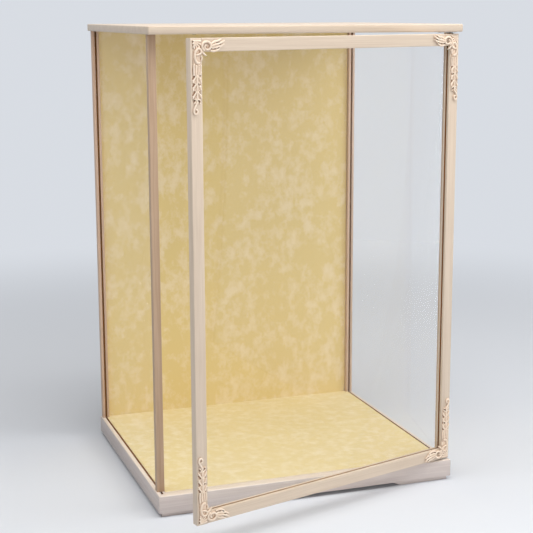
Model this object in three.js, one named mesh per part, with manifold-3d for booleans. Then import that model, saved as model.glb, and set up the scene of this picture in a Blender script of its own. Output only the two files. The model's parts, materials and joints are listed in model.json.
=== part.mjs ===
// Glazed display case for a standing doll. A box base on a recessed plinth carries four
// posts, glass sides, a lined back and floor and a top board. One framed glass door with
// cast corner ornaments turns on pivot pins at its right end and is shown standing ajar.
// Millimetres, +Z up, the door faces -Y. The origin is the centre of the display floor's top.

import * as THREE from 'three';
import { mergeVertices } from 'three/addons/utils/BufferGeometryUtils.js';
import Module from 'manifold-3d';

// Clearances
const seatGap = 0.05; // between faces that are glued or rest on each other
const mitreGap = 0.2; // between the ends of two mitred rails
const boardGap = 0.3; // around a board in its rebate
const grooveGap = 0.2; // each side of a pane or panel in its groove
const edgeGap = 0.5; // between a pane's edge and the bottom of its groove
const holeGap = 0.12; // around a pin, dowel or screw in its hole
const doorJointGap = 0.15; // between the members of the door frame

// Base and plinth
const baseWidth = 500;
const baseDepth = 431;
const baseHeight = 28;
const baseRailWidth = 20;
const edgeRound = 2; // rounded arrises of base and top board
const plinthHeight = 7;
const plinthInset = 5;
const plinthRailWidth = 15;
const footLength = 80; // front foot, along the ground
const footSweep = 25; // run of its curved inner end
const footTip = 0.8; // thickness where the curve ends

// Floor
const floorThickness = 9;
const floorSeat = 6; // width of the rebate under the floor board's edge
const liningThickness = 0.4;
const liningFrontMargin = 17; // bare ledge in front of the floor lining

// Posts, panes and back
const clearHeight = 701; // from the base to the top board
const postWidth = 12;
const postDepth = 12;
const postRound = 0.8;
const postInset = 2; // in from the base's side and rear faces
const doorLedge = 20; // base in front of the posts
const glassThickness = 3;
const grooveDepth = 5;
const grooveFrontStop = 10; // base left uncut in front of the side grooves
const backThickness = 3;
const backSetback = 7.5; // from the rear posts' front to the lining
const backRebate = 4; // width of the rear posts' rebate

// Top board
const topThickness = 12;
const topSideOverhang = 2.5;
const topFrontOverhang = 1;
const topRearOverhang = 3;

// Door
const doorOpenAngle = 16.6; // degrees from closed, as it stands
const doorThickness = 12;
const doorGap = 2.5; // between the closed door and the posts
const doorHingeMargin = 2; // hinge end of the door inside the base's right face
const doorFreeMargin = 0; // its free end inside the left face
const doorBottomGap = 2;
const doorTopGap = 3;
const doorFrameWidth = 18.5;
const doorRound = 1;
const doorGrooveDepth = 6;
const tenonThickness = 5;
const tenonLength = 11;
const tenonShoulder = 2; // rail left outside the tenon at its outer edge
const pivotInset = 6; // pivot axis in from the door's end

// Fasteners
const postScrewRadius = 1.75;
const postScrewHeadRadius = 3.4;
const postScrewHeadHeight = 2.6;
const postScrewLength = 45;
const postFixingSetback = 4; // fixing axis in from the post's face away from the glass
const dowelRadius = 2;
const dowelInPost = 10;
const dowelInTop = 8;
const dowelEndGap = 0.5;
const backPinRadius = 0.6;
const backPinLength = 7;
const backPinHeadRadius = 1.5;
const backPinHeadHeight = 0.5;
const backPinsPerSide = 3;
const backPinEndMargin = 40;

// Pivots
const pivotPinRadius = 2;
const pivotPinRise = 10; // pin above its plate
const pivotPlateThickness = 1;
const pivotPlateWidth = 9;
const pivotPlateReach = 26; // plate from the pin's axis towards its screws
const pivotBushWall = 1.2;
const pivotBushLength = 12;
const pivotFlangeRadius = 4.4;
const pivotFlangeThickness = 1;
const pivotRunningGap = 0.1;
const pivotWasherThickness = 0.7;
const pivotSides = 16; // facets round the pivot's pins and bushes
const smallScrewRadius = 1.2;
const smallScrewHeadRadius = 2.2;
const smallScrewHeadHeight = 0.8;
const smallScrewLength = 9;
const pivotScrewPitch = 9;
const pivotScrewEndMargin = 4; // last screw in from the plate's end

// Magnet catch
const catchFromDoorEnd = 70; // magnet's axis in from the closed door's free end
const magnetRadius = 3;
const magnetLength = 8;
const magnetProud = 0.5; // below the top board

// Corner ornament, measured from the door's outer corner: u along the rail,
// v along the stile, w out of the door's face
const ornamentMargin = 0.9; // bare edge of the frame outside the ornament
const ornamentPlate = 1.3;
const ornamentBevel = 0.7;
const ornamentLength = 104; // along the stile, from the door's corner
const scrollRelief = 3.6;
const stemRelief = 3;
const leafRelief = 2.7;
const strandSides = 6;

// Places that follow from the sizes
const halfWidth = baseWidth / 2;
const halfDepth = baseDepth / 2;
const rimZ = -liningThickness;
const baseBottomZ = rimZ - baseHeight;
const topZ = rimZ + clearHeight;
const postX = halfWidth - postInset - postWidth / 2;
const postInnerX = postX - postWidth / 2;
const frontPostY = -halfDepth + doorLedge + postDepth / 2;
const rearPostY = halfDepth - postInset - postDepth / 2;
const glassFrontY = frontPostY + postDepth / 2 - grooveDepth;
const glassRearY = rearPostY - postDepth / 2 + grooveDepth;
const liningFaceY = rearPostY - postDepth / 2 + backSetback;
const backFrontY = liningFaceY + liningThickness;
const backRearY = backFrontY + backThickness;
const backHalfWidth = postInnerX + backRebate - boardGap;
const frontFixingY = frontPostY - postDepth / 2 + postFixingSetback;
const rearFixingY = rearPostY + postDepth / 2 - postFixingSetback;
const doorWidth = baseWidth - doorHingeMargin - doorFreeMargin;
const pivotX = halfWidth - doorHingeMargin - pivotInset;
const pivotY = frontPostY - postDepth / 2 - doorGap - doorThickness / 2;
const cuttingMargin = 1; // by which a cutter passes a face

// Materials
function finish(color, roughness, metalness = 0) {
  return new THREE.MeshStandardMaterial({ color, roughness, metalness });
}

function glazing() {
  return new THREE.MeshStandardMaterial({
    color: 0xe9f2ee, roughness: 0.05, metalness: 0, transparent: true, opacity: 0.3,
  });
}

const creamPaint = () => finish(0xe4d2bd, 0.45);
const postPaint = () => finish(0xc4a68c, 0.5);
const ornamentPaint = () => finish(0xe2cfb2, 0.5);
const liningPaper = () => finish(0xe0cc98, 0.9);
const plywood = () => finish(0xc9a574, 0.75);
const beech = () => finish(0xcfae82, 0.65);
const steel = () => finish(0xb9bcc0, 0.35, 1);
const brass = () => finish(0xb99a5a, 0.35, 1);
const magnetBlack = () => finish(0x2c2a2b, 0.6, 0.3);
const nylon = () => finish(0xece8df, 0.5);

// Solids
const wasm = await Module();
wasm.setup();

function solid(geometry) {
  const bare = geometry.clone();
  bare.deleteAttribute('normal');
  bare.deleteAttribute('uv');
  const merged = mergeVertices(bare);
  const corners = merged.index.array;
  const kept = [];
  for (let i = 0; i < corners.length; i += 3) {
    const [a, b, c] = [corners[i], corners[i + 1], corners[i + 2]];
    if (a !== b && b !== c && c !== a) kept.push(a, b, c);
  }
  return new wasm.Manifold(new wasm.Mesh({
    numProp: 3,
    vertProperties: new Float32Array(merged.attributes.position.array),
    triVerts: new Uint32Array(kept),
  }));
}

function geometryOf(body) {
  const mesh = body.getMesh();
  const geometry = new THREE.BufferGeometry();
  geometry.setAttribute('position', new THREE.BufferAttribute(mesh.vertProperties, 3));
  geometry.setIndex(new THREE.BufferAttribute(mesh.triVerts, 1));
  geometry.computeVertexNormals();
  return geometry;
}

function union(bodies) {
  return bodies.reduce((whole, body) => whole.add(body));
}

function cut(body, cutters) {
  return cutters.reduce((rest, cutter) => rest.subtract(cutter), body);
}

function block([x0, x1], [y0, y1], [z0, z1]) {
  const geometry = new THREE.BoxGeometry(x1 - x0, y1 - y0, z1 - z0);
  geometry.translate((x0 + x1) / 2, (y0 + y1) / 2, (z0 + z1) / 2);
  return solid(geometry);
}

// An upright rod about the point x, y
function rod(radius, x, y, [z0, z1], sides = 20) {
  const geometry = new THREE.CylinderGeometry(radius, radius, z1 - z0, sides);
  geometry.rotateX(Math.PI / 2);
  geometry.translate(x, y, (z0 + z1) / 2);
  return solid(geometry);
}

// A lathed piece about an upright axis, from a profile of radius and height
function turned(profile, sides = 20) {
  const points = profile.map(([radius, height]) => new THREE.Vector2(radius, height));
  const geometry = new THREE.LatheGeometry(points, sides);
  geometry.rotateX(Math.PI / 2);
  return geometry;
}

// An upright prism of a plan outline
function prism(shape, [z0, z1], curveSegments = 4) {
  const depth = z1 - z0;
  const geometry = new THREE.ExtrudeGeometry(shape, { depth, bevelEnabled: false, curveSegments });
  geometry.translate(0, 0, z0);
  return solid(geometry);
}

function roundedRectangle([x0, x1], [y0, y1], radius) {
  const shape = new THREE.Shape();
  shape.absarc(x1 - radius, y1 - radius, radius, 0, Math.PI / 2);
  shape.absarc(x0 + radius, y1 - radius, radius, Math.PI / 2, Math.PI);
  shape.absarc(x0 + radius, y0 + radius, radius, Math.PI, 1.5 * Math.PI);
  shape.absarc(x1 - radius, y0 + radius, radius, 1.5 * Math.PI, 2 * Math.PI);
  return shape;
}

// Adds a named mesh whose own origin is at the given place
function place(parent, name, body, material, [x, y, z] = [0, 0, 0]) {
  const geometry = body.isBufferGeometry ? body : geometryOf(body);
  geometry.translate(-x, -y, -z);
  const mesh = new THREE.Mesh(geometry, material);
  mesh.name = name;
  mesh.position.set(x, y, z);
  parent.add(mesh);
  return mesh;
}

const displayCase = new THREE.Group();

// The four sides of the base: quarter turns from the front, length and distance out
const sides = {
  front: { turn: 0, length: baseWidth, out: halfDepth },
  right: { turn: 1, length: baseDepth, out: halfWidth },
  rear: { turn: 2, length: baseWidth, out: halfDepth },
  left: { turn: 3, length: baseDepth, out: halfWidth },
};

// Side coordinates: X along the side, Y inwards from the outer face, Z up
function sideMatrix({ turn, out }) {
  const turned = new THREE.Matrix4().makeRotationZ(turn * Math.PI / 2);
  return turned.multiply(new THREE.Matrix4().makeTranslation(0, -out, 0));
}

// A bar with the given section, in inward distance and height, mitred at both ends
function mitredBar(side, section, sectionWidth) {
  const bar = new THREE.ExtrudeGeometry(section, {
    depth: side.length, bevelEnabled: false, curveSegments: 4,
  });
  bar.translate(0, 0, -side.length / 2);
  const along = new THREE.Vector3(1, 0, 0);
  const inward = new THREE.Vector3(0, 1, 0);
  const up = new THREE.Vector3(0, 0, 1);
  bar.applyMatrix4(new THREE.Matrix4().makeBasis(inward, up, along));
  bar.applyMatrix4(sideMatrix(side));
  return solid(bar).intersect(mitreWedge(side, sectionWidth));
}

function mitreWedge(side, width) {
  const half = side.length / 2 - mitreGap / Math.SQRT2;
  const wedge = new THREE.Shape();
  wedge.moveTo(-half - cuttingMargin, -cuttingMargin);
  wedge.lineTo(half + cuttingMargin, -cuttingMargin);
  wedge.lineTo(half - width - cuttingMargin, width + cuttingMargin);
  wedge.lineTo(-half + width + cuttingMargin, width + cuttingMargin);
  wedge.closePath();
  const tall = baseHeight + plinthHeight + 2 * cuttingMargin;
  const geometry = new THREE.ExtrudeGeometry(wedge, { depth: tall, bevelEnabled: false });
  geometry.translate(0, 0, rimZ - tall + cuttingMargin);
  geometry.applyMatrix4(sideMatrix(side));
  return solid(geometry);
}

// Grooves and holes shared by the pieces that they pass through
function sideGrooves([z0, z1], frontY, rearY) {
  const half = glassThickness / 2 + grooveGap;
  return [-postX, postX].map((x) => block([x - half, x + half], [frontY, rearY], [z0, z1]));
}

function backGroove([z0, z1]) {
  const half = backHalfWidth + boardGap;
  return block([-half, half], [backFrontY - grooveGap, backRearY + grooveGap], [z0, z1]);
}

const fixings = {
  front_left: [-postX, frontFixingY],
  front_right: [postX, frontFixingY],
  rear_left: [-postX, rearFixingY],
  rear_right: [postX, rearFixingY],
};
const fixingPoints = Object.values(fixings);

const postScrewTopZ = baseBottomZ + postScrewHeadHeight + postScrewLength;
const postScrewHoles = fixingPoints.map(([x, y]) => (
  rod(postScrewRadius + holeGap, x, y, [baseBottomZ - cuttingMargin, postScrewTopZ + holeGap], 12)
));
const counterbores = fixingPoints.map(([x, y]) => rod(
  postScrewHeadRadius + holeGap, x, y,
  [baseBottomZ - plinthHeight - cuttingMargin, baseBottomZ + postScrewHeadHeight + seatGap], 16,
));
const dowelZ = [topZ - dowelInPost, topZ + dowelInTop];
const dowelHoles = fixingPoints.map(([x, y]) => (
  rod(dowelRadius + holeGap, x, y, [dowelZ[0] - dowelEndGap, dowelZ[1] + dowelEndGap], 12)
));

// Back panel pins, driven from behind into the rear posts' rebates
const backPinX = postInnerX + backRebate / 2;
const backPinHeights = [];
for (let i = 0; i < backPinsPerSide; i += 1) {
  const run = clearHeight - 2 * backPinEndMargin;
  backPinHeights.push(rimZ + backPinEndMargin + run * i / (backPinsPerSide - 1));
}

function pinAlongY(radius, [y0, y1], x, z, segments) {
  const geometry = new THREE.CylinderGeometry(radius, radius, y1 - y0, segments);
  geometry.translate(x, (y0 + y1) / 2, z);
  return solid(geometry);
}

const backPinPlaces = Object.entries({ left: -backPinX, right: backPinX })
  .flatMap(([side, x]) => backPinHeights.map((z, i) => ({ name: `${side}_${i + 1}`, x, z })));
const backPinY = [backRearY - backPinLength, backRearY + seatGap];
const backPinHoles = backPinPlaces.map(({ x, z }) => pinAlongY(
  backPinRadius + holeGap, [backPinY[0] - holeGap, backRearY + cuttingMargin], x, z, 8,
));

// Small countersunk screw, its head's top at height 0 and its shank below
function smallScrew() {
  return turned([
    [0, -smallScrewLength],
    [smallScrewRadius, -smallScrewLength],
    [smallScrewRadius, -smallScrewHeadHeight],
    [smallScrewHeadRadius, 0],
    [0, 0],
  ], 12);
}

// The hole that takes it, which runs on past the head
function smallScrewHole() {
  return turned([
    [0, -smallScrewLength - holeGap],
    [smallScrewRadius + holeGap, -smallScrewLength - holeGap],
    [smallScrewRadius + holeGap, -smallScrewHeadHeight],
    [smallScrewHeadRadius + holeGap, 0],
    [smallScrewHeadRadius + holeGap, cuttingMargin],
    [0, cuttingMargin],
  ], 12);
}

// Turns a screw or hole from pointing down to its direction, and sets its head in place
const screwTurns = { down: 0, up: Math.PI };

function screwAt(geometry, { at, direction }) {
  geometry.rotateX(screwTurns[direction]);
  geometry.translate(...at);
  return solid(geometry);
}

const screwHoles = (places) => places.map((spot) => screwAt(smallScrewHole(), spot));

// Places of the pivot plates' screws
const lowerPlateTopZ = rimZ + seatGap + pivotPlateThickness;
const upperPlateBottomZ = topZ - seatGap - pivotPlateThickness;
const pivotScrews = {};
for (let i = 0; i < 2; i += 1) {
  const x = pivotX - pivotPlateReach + pivotScrewEndMargin + i * pivotScrewPitch;
  pivotScrews[`lower_${i + 1}`] = { at: [x, pivotY, lowerPlateTopZ], direction: 'down' };
  pivotScrews[`upper_${i + 1}`] = { at: [x, pivotY, upperPlateBottomZ], direction: 'up' };
}
const pivotScrewHoles = screwHoles(Object.values(pivotScrews));

// Magnet over the closed door's top edge, and its bore in the top board
const catchX = -halfWidth + doorFreeMargin + catchFromDoorEnd;
const magnetZ = [topZ - magnetProud, topZ - magnetProud + magnetLength];
const magnetHole = rod(
  magnetRadius + holeGap, catchX, pivotY, [topZ - cuttingMargin, magnetZ[1] + seatGap],
);

// Base: a mitred frame of rails, rounded above, rebated for the floor board
function baseSection() {
  const section = new THREE.Shape();
  section.moveTo(0, baseBottomZ);
  section.lineTo(baseRailWidth, baseBottomZ);
  section.lineTo(baseRailWidth, rimZ - floorThickness - seatGap);
  section.lineTo(baseRailWidth - floorSeat, rimZ - floorThickness - seatGap);
  section.lineTo(baseRailWidth - floorSeat, rimZ);
  section.lineTo(edgeRound, rimZ);
  section.absarc(edgeRound, rimZ - edgeRound, edgeRound, Math.PI / 2, Math.PI);
  section.closePath();
  return section;
}

const baseGrooveZ = [rimZ - grooveDepth - seatGap, rimZ + cuttingMargin];
const baseCutters = [
  ...sideGrooves(baseGrooveZ, -halfDepth + grooveFrontStop, glassRearY + edgeGap),
  backGroove(baseGrooveZ), ...postScrewHoles, ...counterbores, ...pivotScrewHoles,
];
const baseMiddleZ = rimZ - baseHeight / 2;
const baseRailPlaces = {
  front: [0, -halfDepth, baseMiddleZ],
  right: [halfWidth, 0, baseMiddleZ],
  rear: [0, halfDepth, baseMiddleZ],
  left: [-halfWidth, 0, baseMiddleZ],
};
for (const [name, side] of Object.entries(sides)) {
  const rail = cut(mitredBar(side, baseSection(), baseRailWidth), baseCutters);
  place(displayCase, `base_${name}_rail`, rail, creamPaint(), baseRailPlaces[name]);
}

// Plinth: three plain rails, and two front feet with a curved end between which it is open
function plinthSection() {
  const section = new THREE.Shape();
  section.moveTo(plinthInset, baseBottomZ - plinthHeight);
  section.lineTo(plinthInset + plinthRailWidth, baseBottomZ - plinthHeight);
  section.lineTo(plinthInset + plinthRailWidth, baseBottomZ - seatGap);
  section.lineTo(plinthInset, baseBottomZ - seatGap);
  section.closePath();
  return section;
}

for (const name of ['right', 'rear', 'left']) {
  const reach = plinthInset + plinthRailWidth;
  const rail = cut(mitredBar(sides[name], plinthSection(), reach), counterbores);
  const [x, y] = baseRailPlaces[name];
  place(displayCase, `plinth_${name}_rail`, rail, creamPaint(), [x, y, baseBottomZ]);
}

function frontFoot(hand) {
  const outerX = halfWidth - plinthInset;
  const groundX = outerX - footLength;
  const tipX = groundX - footSweep;
  const groundZ = baseBottomZ - plinthHeight;
  const upperZ = baseBottomZ - seatGap;
  const tipZ = upperZ - footTip;
  const outline = new THREE.Shape();
  outline.moveTo(hand * outerX, groundZ);
  outline.lineTo(hand * outerX, upperZ);
  outline.lineTo(hand * tipX, upperZ);
  outline.lineTo(hand * tipX, tipZ);
  const pull = footSweep / 2;
  outline.bezierCurveTo(
    hand * (tipX + pull), tipZ, hand * (groundX - pull), groundZ, hand * groundX, groundZ,
  );
  outline.closePath();
  const foot = new THREE.ExtrudeGeometry(outline, {
    depth: plinthRailWidth, bevelEnabled: false, curveSegments: 8,
  });
  const across = new THREE.Vector3(1, 0, 0);
  const up = new THREE.Vector3(0, 0, 1);
  const forward = new THREE.Vector3(0, -1, 0);
  foot.applyMatrix4(new THREE.Matrix4().makeBasis(across, up, forward));
  foot.translate(0, -halfDepth + plinthInset + plinthRailWidth, 0);
  const wedge = mitreWedge(sides.front, plinthInset + plinthRailWidth);
  return cut(solid(foot).intersect(wedge), counterbores);
}

const footPlace = (hand) => [hand * (halfWidth - plinthInset), -halfDepth, baseBottomZ];
place(displayCase, 'plinth_foot_left', frontFoot(-1), creamPaint(), footPlace(-1));
place(displayCase, 'plinth_foot_right', frontFoot(1), creamPaint(), footPlace(1));

// Floor board in the rails' rebate
const floorHalfX = halfWidth - baseRailWidth + floorSeat - boardGap;
const floorHalfY = halfDepth - baseRailWidth + floorSeat - boardGap;
const floorBoard = block(
  [-floorHalfX, floorHalfX], [-floorHalfY, floorHalfY], [rimZ - floorThickness, rimZ],
);
place(displayCase, 'floor_board', floorBoard, plywood(), [0, 0, rimZ]);

// Floor lining, between the side grooves and notched round the posts
function floorLining() {
  const wideX = postX - glassThickness / 2 - grooveGap - boardGap;
  const narrowX = postInnerX - boardGap;
  const frontY = -halfDepth + liningFrontMargin;
  const wideFrontY = frontPostY + postDepth / 2 + boardGap;
  const wideRearY = rearPostY - postDepth / 2 - boardGap;
  const rearY = liningFaceY - boardGap;
  const outline = new THREE.Shape();
  outline.moveTo(-narrowX, frontY);
  outline.lineTo(narrowX, frontY);
  outline.lineTo(narrowX, wideFrontY);
  outline.lineTo(wideX, wideFrontY);
  outline.lineTo(wideX, wideRearY);
  outline.lineTo(narrowX, wideRearY);
  outline.lineTo(narrowX, rearY);
  outline.lineTo(-narrowX, rearY);
  outline.lineTo(-narrowX, wideRearY);
  outline.lineTo(-wideX, wideRearY);
  outline.lineTo(-wideX, wideFrontY);
  outline.lineTo(-narrowX, wideFrontY);
  outline.closePath();
  return prism(outline, [rimZ + seatGap, 0]);
}

place(displayCase, 'floor_lining', floorLining(), liningPaper());

// Posts: grooved for the glass, the rear pair rebated for the back panel
function post(hand, centreY, isRear) {
  const xs = [hand * postX - postWidth / 2, hand * postX + postWidth / 2];
  const ys = [centreY - postDepth / 2, centreY + postDepth / 2];
  const body = prism(roundedRectangle(xs, ys, postRound), [rimZ + seatGap, topZ - seatGap]);
  const wholeZ = [rimZ - cuttingMargin, topZ + cuttingMargin];
  const grooveY = isRear
    ? [ys[0] - cuttingMargin, glassRearY + edgeGap]
    : [glassFrontY - edgeGap, ys[1] + cuttingMargin];
  const cutters = [...sideGrooves(wholeZ, ...grooveY), ...postScrewHoles, ...dowelHoles];
  if (isRear) {
    const rebateX = [postInnerX - cuttingMargin, postInnerX + backRebate]
      .map((x) => hand * x).sort((a, b) => a - b);
    const rebateY = [backFrontY - grooveGap, ys[1] + cuttingMargin];
    cutters.push(block(rebateX, rebateY, wholeZ), ...backPinHoles);
  }
  return cut(body, cutters);
}

const posts = {
  post_front_left: [-1, frontPostY, false],
  post_front_right: [1, frontPostY, false],
  post_rear_left: [-1, rearPostY, true],
  post_rear_right: [1, rearPostY, true],
};
for (const [name, [hand, centreY, isRear]] of Object.entries(posts)) {
  place(displayCase, name, post(hand, centreY, isRear), postPaint(), [hand * postX, centreY, rimZ]);
}

// Side panes
const paneZ = [rimZ - grooveDepth, topZ + grooveDepth - edgeGap];
for (const [name, hand] of Object.entries({ side_glass_left: -1, side_glass_right: 1 })) {
  const x = hand * postX;
  const pane = block(
    [x - glassThickness / 2, x + glassThickness / 2], [glassFrontY, glassRearY], paneZ,
  );
  place(displayCase, name, pane, glazing(), [x, 0, rimZ]);
}

// Back panel in its rebates and grooves, with the lining on its face
const panelZ = [rimZ - grooveDepth, topZ + grooveDepth - edgeGap];
const panel = cut(
  block([-backHalfWidth, backHalfWidth], [backFrontY, backRearY], panelZ), backPinHoles,
);
place(displayCase, 'back_panel', panel, plywood(), [0, backFrontY, rimZ]);

const backLiningHalf = postInnerX - boardGap;
const backLining = block(
  [-backLiningHalf, backLiningHalf], [liningFaceY, backFrontY - seatGap],
  [rimZ + seatGap, topZ - seatGap],
);
place(displayCase, 'back_lining', backLining, liningPaper(), [0, liningFaceY, rimZ]);

for (const { name, x, z } of backPinPlaces) {
  const headY = [backPinY[1] - seatGap / 2, backPinY[1] + backPinHeadHeight];
  const pin = pinAlongY(backPinRadius, backPinY, x, z, 8)
    .add(pinAlongY(backPinHeadRadius, headY, x, z, 8));
  place(displayCase, `back_pin_${name}`, pin, steel(), [x, backRearY, z]);
}

// Screws up into the posts' feet, and dowels between the posts and the top board
for (const [name, [x, y]] of Object.entries(fixings)) {
  const headZ = baseBottomZ + postScrewHeadHeight;
  const screw = rod(postScrewRadius, x, y, [headZ - seatGap, postScrewTopZ], 12)
    .add(rod(postScrewHeadRadius, x, y, [baseBottomZ, headZ], 16));
  place(displayCase, `post_screw_${name}`, screw, steel(), [x, y, baseBottomZ]);
  const dowel = rod(dowelRadius, x, y, dowelZ, 12);
  place(displayCase, `post_dowel_${name}`, dowel, beech(), [x, y, topZ]);
}

// Pivots: a plate with a pin on the base and one under the top board
function pivotPlate(plateZ, pinZ) {
  const plateX = [pivotX - pivotPlateReach, pivotX + pivotPlateWidth / 2];
  const plateY = [pivotY - pivotPlateWidth / 2, pivotY + pivotPlateWidth / 2];
  const plate = prism(roundedRectangle(plateX, plateY, pivotPlateWidth / 3), plateZ);
  return cut(plate.add(rod(pivotPinRadius, pivotX, pivotY, pinZ, pivotSides)), pivotScrewHoles);
}

const lowerPinZ = [lowerPlateTopZ - pivotPlateThickness / 2, lowerPlateTopZ + pivotPinRise];
const upperPinZ = [upperPlateBottomZ - pivotPinRise, upperPlateBottomZ + pivotPlateThickness / 2];
const lowerPlate = pivotPlate([rimZ + seatGap, lowerPlateTopZ], lowerPinZ);
const upperPlate = pivotPlate([upperPlateBottomZ, topZ - seatGap], upperPinZ);
place(displayCase, 'pivot_plate_lower', lowerPlate, steel(), [pivotX, pivotY, rimZ]);
place(displayCase, 'pivot_plate_upper', upperPlate, steel(), [pivotX, pivotY, topZ]);

for (const [name, spot] of Object.entries(pivotScrews)) {
  place(displayCase, `pivot_screw_${name}`, screwAt(smallScrew(), spot), steel(), spot.at);
}

const washerZ = [lowerPlateTopZ + seatGap, lowerPlateTopZ + seatGap + pivotWasherThickness];
const washer = rod(pivotPlateWidth / 2, pivotX, pivotY, washerZ, pivotSides)
  .subtract(rod(pivotPinRadius + pivotRunningGap, pivotX, pivotY,
    [washerZ[0] - cuttingMargin, washerZ[1] + cuttingMargin], pivotSides));
place(displayCase, 'pivot_washer', washer, nylon(), [pivotX, pivotY, washerZ[0]]);

// Magnet of the catch, pressed into the top board
const magnet = rod(magnetRadius, catchX, pivotY, magnetZ);
place(displayCase, 'catch_magnet', magnet, magnetBlack(), [catchX, pivotY, topZ]);

// Top board, rounded all round, grooved below for the panes and the back panel
function topBoard() {
  const reachX = halfWidth + topSideOverhang - edgeRound;
  const frontY = -halfDepth - topFrontOverhang + edgeRound;
  const rearY = halfDepth + topRearOverhang - edgeRound;
  const plan = roundedRectangle([-reachX, reachX], [frontY, rearY], edgeRound / 4);
  const board = new THREE.ExtrudeGeometry(plan, {
    depth: topThickness - 2 * edgeRound,
    bevelThickness: edgeRound,
    bevelSize: edgeRound,
    bevelSegments: 3,
    curveSegments: 2,
  });
  board.translate(0, 0, topZ + edgeRound);
  const grooveZ = [topZ - cuttingMargin, topZ + grooveDepth];
  return cut(solid(board), [
    ...sideGrooves(grooveZ, glassFrontY - edgeGap, glassRearY + edgeGap),
    backGroove(grooveZ), ...dowelHoles, ...pivotScrewHoles, magnetHole,
  ]);
}

place(displayCase, 'top_board', topBoard(), creamPaint(), [0, 0, topZ]);

// Door, in its own coordinates: origin on the pivot axis at the base's top, closed
const door = new THREE.Group();
door.position.set(pivotX, pivotY, rimZ);
door.rotation.z = THREE.MathUtils.degToRad(doorOpenAngle);
displayCase.add(door);

const doorRight = pivotInset;
const doorLeft = pivotInset - doorWidth;
const doorBottom = doorBottomGap;
const doorTop = clearHeight - doorTopGap;
const doorFront = -doorThickness / 2;
const doorBack = doorThickness / 2;
const doorGlassInset = doorFrameWidth - doorGrooveDepth + edgeGap;

const doorPaneX = [doorLeft + doorGlassInset, doorRight - doorGlassInset];
const doorPaneZ = [doorBottom + doorGlassInset, doorTop - doorGlassInset];
const doorGrooveHalf = glassThickness / 2 + grooveGap;
const doorGroove = block(
  [doorPaneX[0] - edgeGap, doorPaneX[1] + edgeGap], [-doorGrooveHalf, doorGrooveHalf],
  [doorPaneZ[0] - edgeGap, doorPaneZ[1] + edgeGap],
);

const doorJointXs = [doorLeft + doorFrameWidth, doorRight - doorFrameWidth];

// Tenons on the rails' ends, and the mortises for them in the stiles
function tenon(z, rise, gap) {
  const outerZ = z + rise * (tenonShoulder - gap);
  const innerZ = z + rise * (doorFrameWidth - doorGrooveDepth - edgeGap + gap);
  const half = tenonThickness / 2 + gap;
  const reach = tenonLength + gap;
  return block(
    [doorJointXs[0] - reach, doorJointXs[1] + reach], [-half, half],
    [Math.min(outerZ, innerZ), Math.max(outerZ, innerZ)],
  );
}

const mortises = [tenon(doorTop, -1, holeGap), tenon(doorBottom, 1, holeGap)];

// Flanged bushes let into both ends of the hinge stile, and the holes for them
const bushBore = pivotPinRadius + pivotRunningGap;
const bushOuter = bushBore + pivotBushWall;

function pivotBush() {
  return turned([
    [bushBore, 0],
    [pivotFlangeRadius, 0],
    [pivotFlangeRadius, pivotFlangeThickness],
    [bushOuter, pivotFlangeThickness],
    [bushOuter, pivotBushLength],
    [bushBore, pivotBushLength],
    [bushBore, 0],
  ], pivotSides);
}

function pivotBushHole() {
  return turned([
    [0, -cuttingMargin],
    [pivotFlangeRadius + holeGap, -cuttingMargin],
    [pivotFlangeRadius + holeGap, pivotFlangeThickness + holeGap],
    [bushOuter + holeGap, pivotFlangeThickness + holeGap],
    [bushOuter + holeGap, pivotBushLength + holeGap],
    [0, pivotBushLength + holeGap],
  ], pivotSides);
}

function atLowerEnd(geometry) {
  geometry.translate(0, 0, doorBottom);
  return solid(geometry);
}

function atUpperEnd(geometry) {
  geometry.rotateX(Math.PI);
  geometry.translate(0, 0, doorTop);
  return solid(geometry);
}

const bushHoles = [atLowerEnd(pivotBushHole()), atUpperEnd(pivotBushHole())];

// Countersunk screw in the door's top edge, which the magnet draws when the door is closed
const strikeScrew = { at: [catchX - pivotX, 0, doorTop], direction: 'down' };
const [strikeScrewHole] = screwHoles([strikeScrew]);

const doorCutters = [doorGroove, ...bushHoles, strikeScrewHole];

function doorStile(xs, zs) {
  const plan = roundedRectangle(xs, [doorFront, doorBack], doorRound);
  return cut(prism(plan, zs), [...doorCutters, ...mortises]);
}

// A rail has its rounded edges along its length, so its section is laid on its side
function doorRail(xs, zs, tenonBar) {
  const section = roundedRectangle(zs, [doorFront, doorBack], doorRound);
  const rail = new THREE.ExtrudeGeometry(section, {
    depth: xs[1] - xs[0], bevelEnabled: false, curveSegments: 4,
  });
  const up = new THREE.Vector3(0, 0, 1);
  const back = new THREE.Vector3(0, 1, 0);
  const toLeft = new THREE.Vector3(-1, 0, 0);
  rail.applyMatrix4(new THREE.Matrix4().makeBasis(up, back, toLeft));
  rail.translate(xs[1], 0, 0);
  return cut(solid(rail).add(tenonBar), doorCutters);
}

const stileZ = [doorBottom, doorTop];
const freeStile = doorStile([doorLeft, doorLeft + doorFrameWidth], stileZ);
const hingeStile = doorStile([doorRight - doorFrameWidth, doorRight], stileZ);
place(door, 'door_stile_free', freeStile, creamPaint(), [doorLeft, 0, doorBottom]);
place(door, 'door_stile_hinge', hingeStile, creamPaint(), [0, 0, doorBottom]);

const railX = [doorJointXs[0] + doorJointGap, doorJointXs[1] - doorJointGap];
const topRail = doorRail(railX, [doorTop - doorFrameWidth, doorTop], tenon(doorTop, -1, 0));
const bottomRail = doorRail(
  railX, [doorBottom, doorBottom + doorFrameWidth], tenon(doorBottom, 1, 0),
);
place(door, 'door_rail_top', topRail, creamPaint(), [railX[0], 0, doorTop]);
place(door, 'door_rail_bottom', bottomRail, creamPaint(), [railX[0], 0, doorBottom]);

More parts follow.
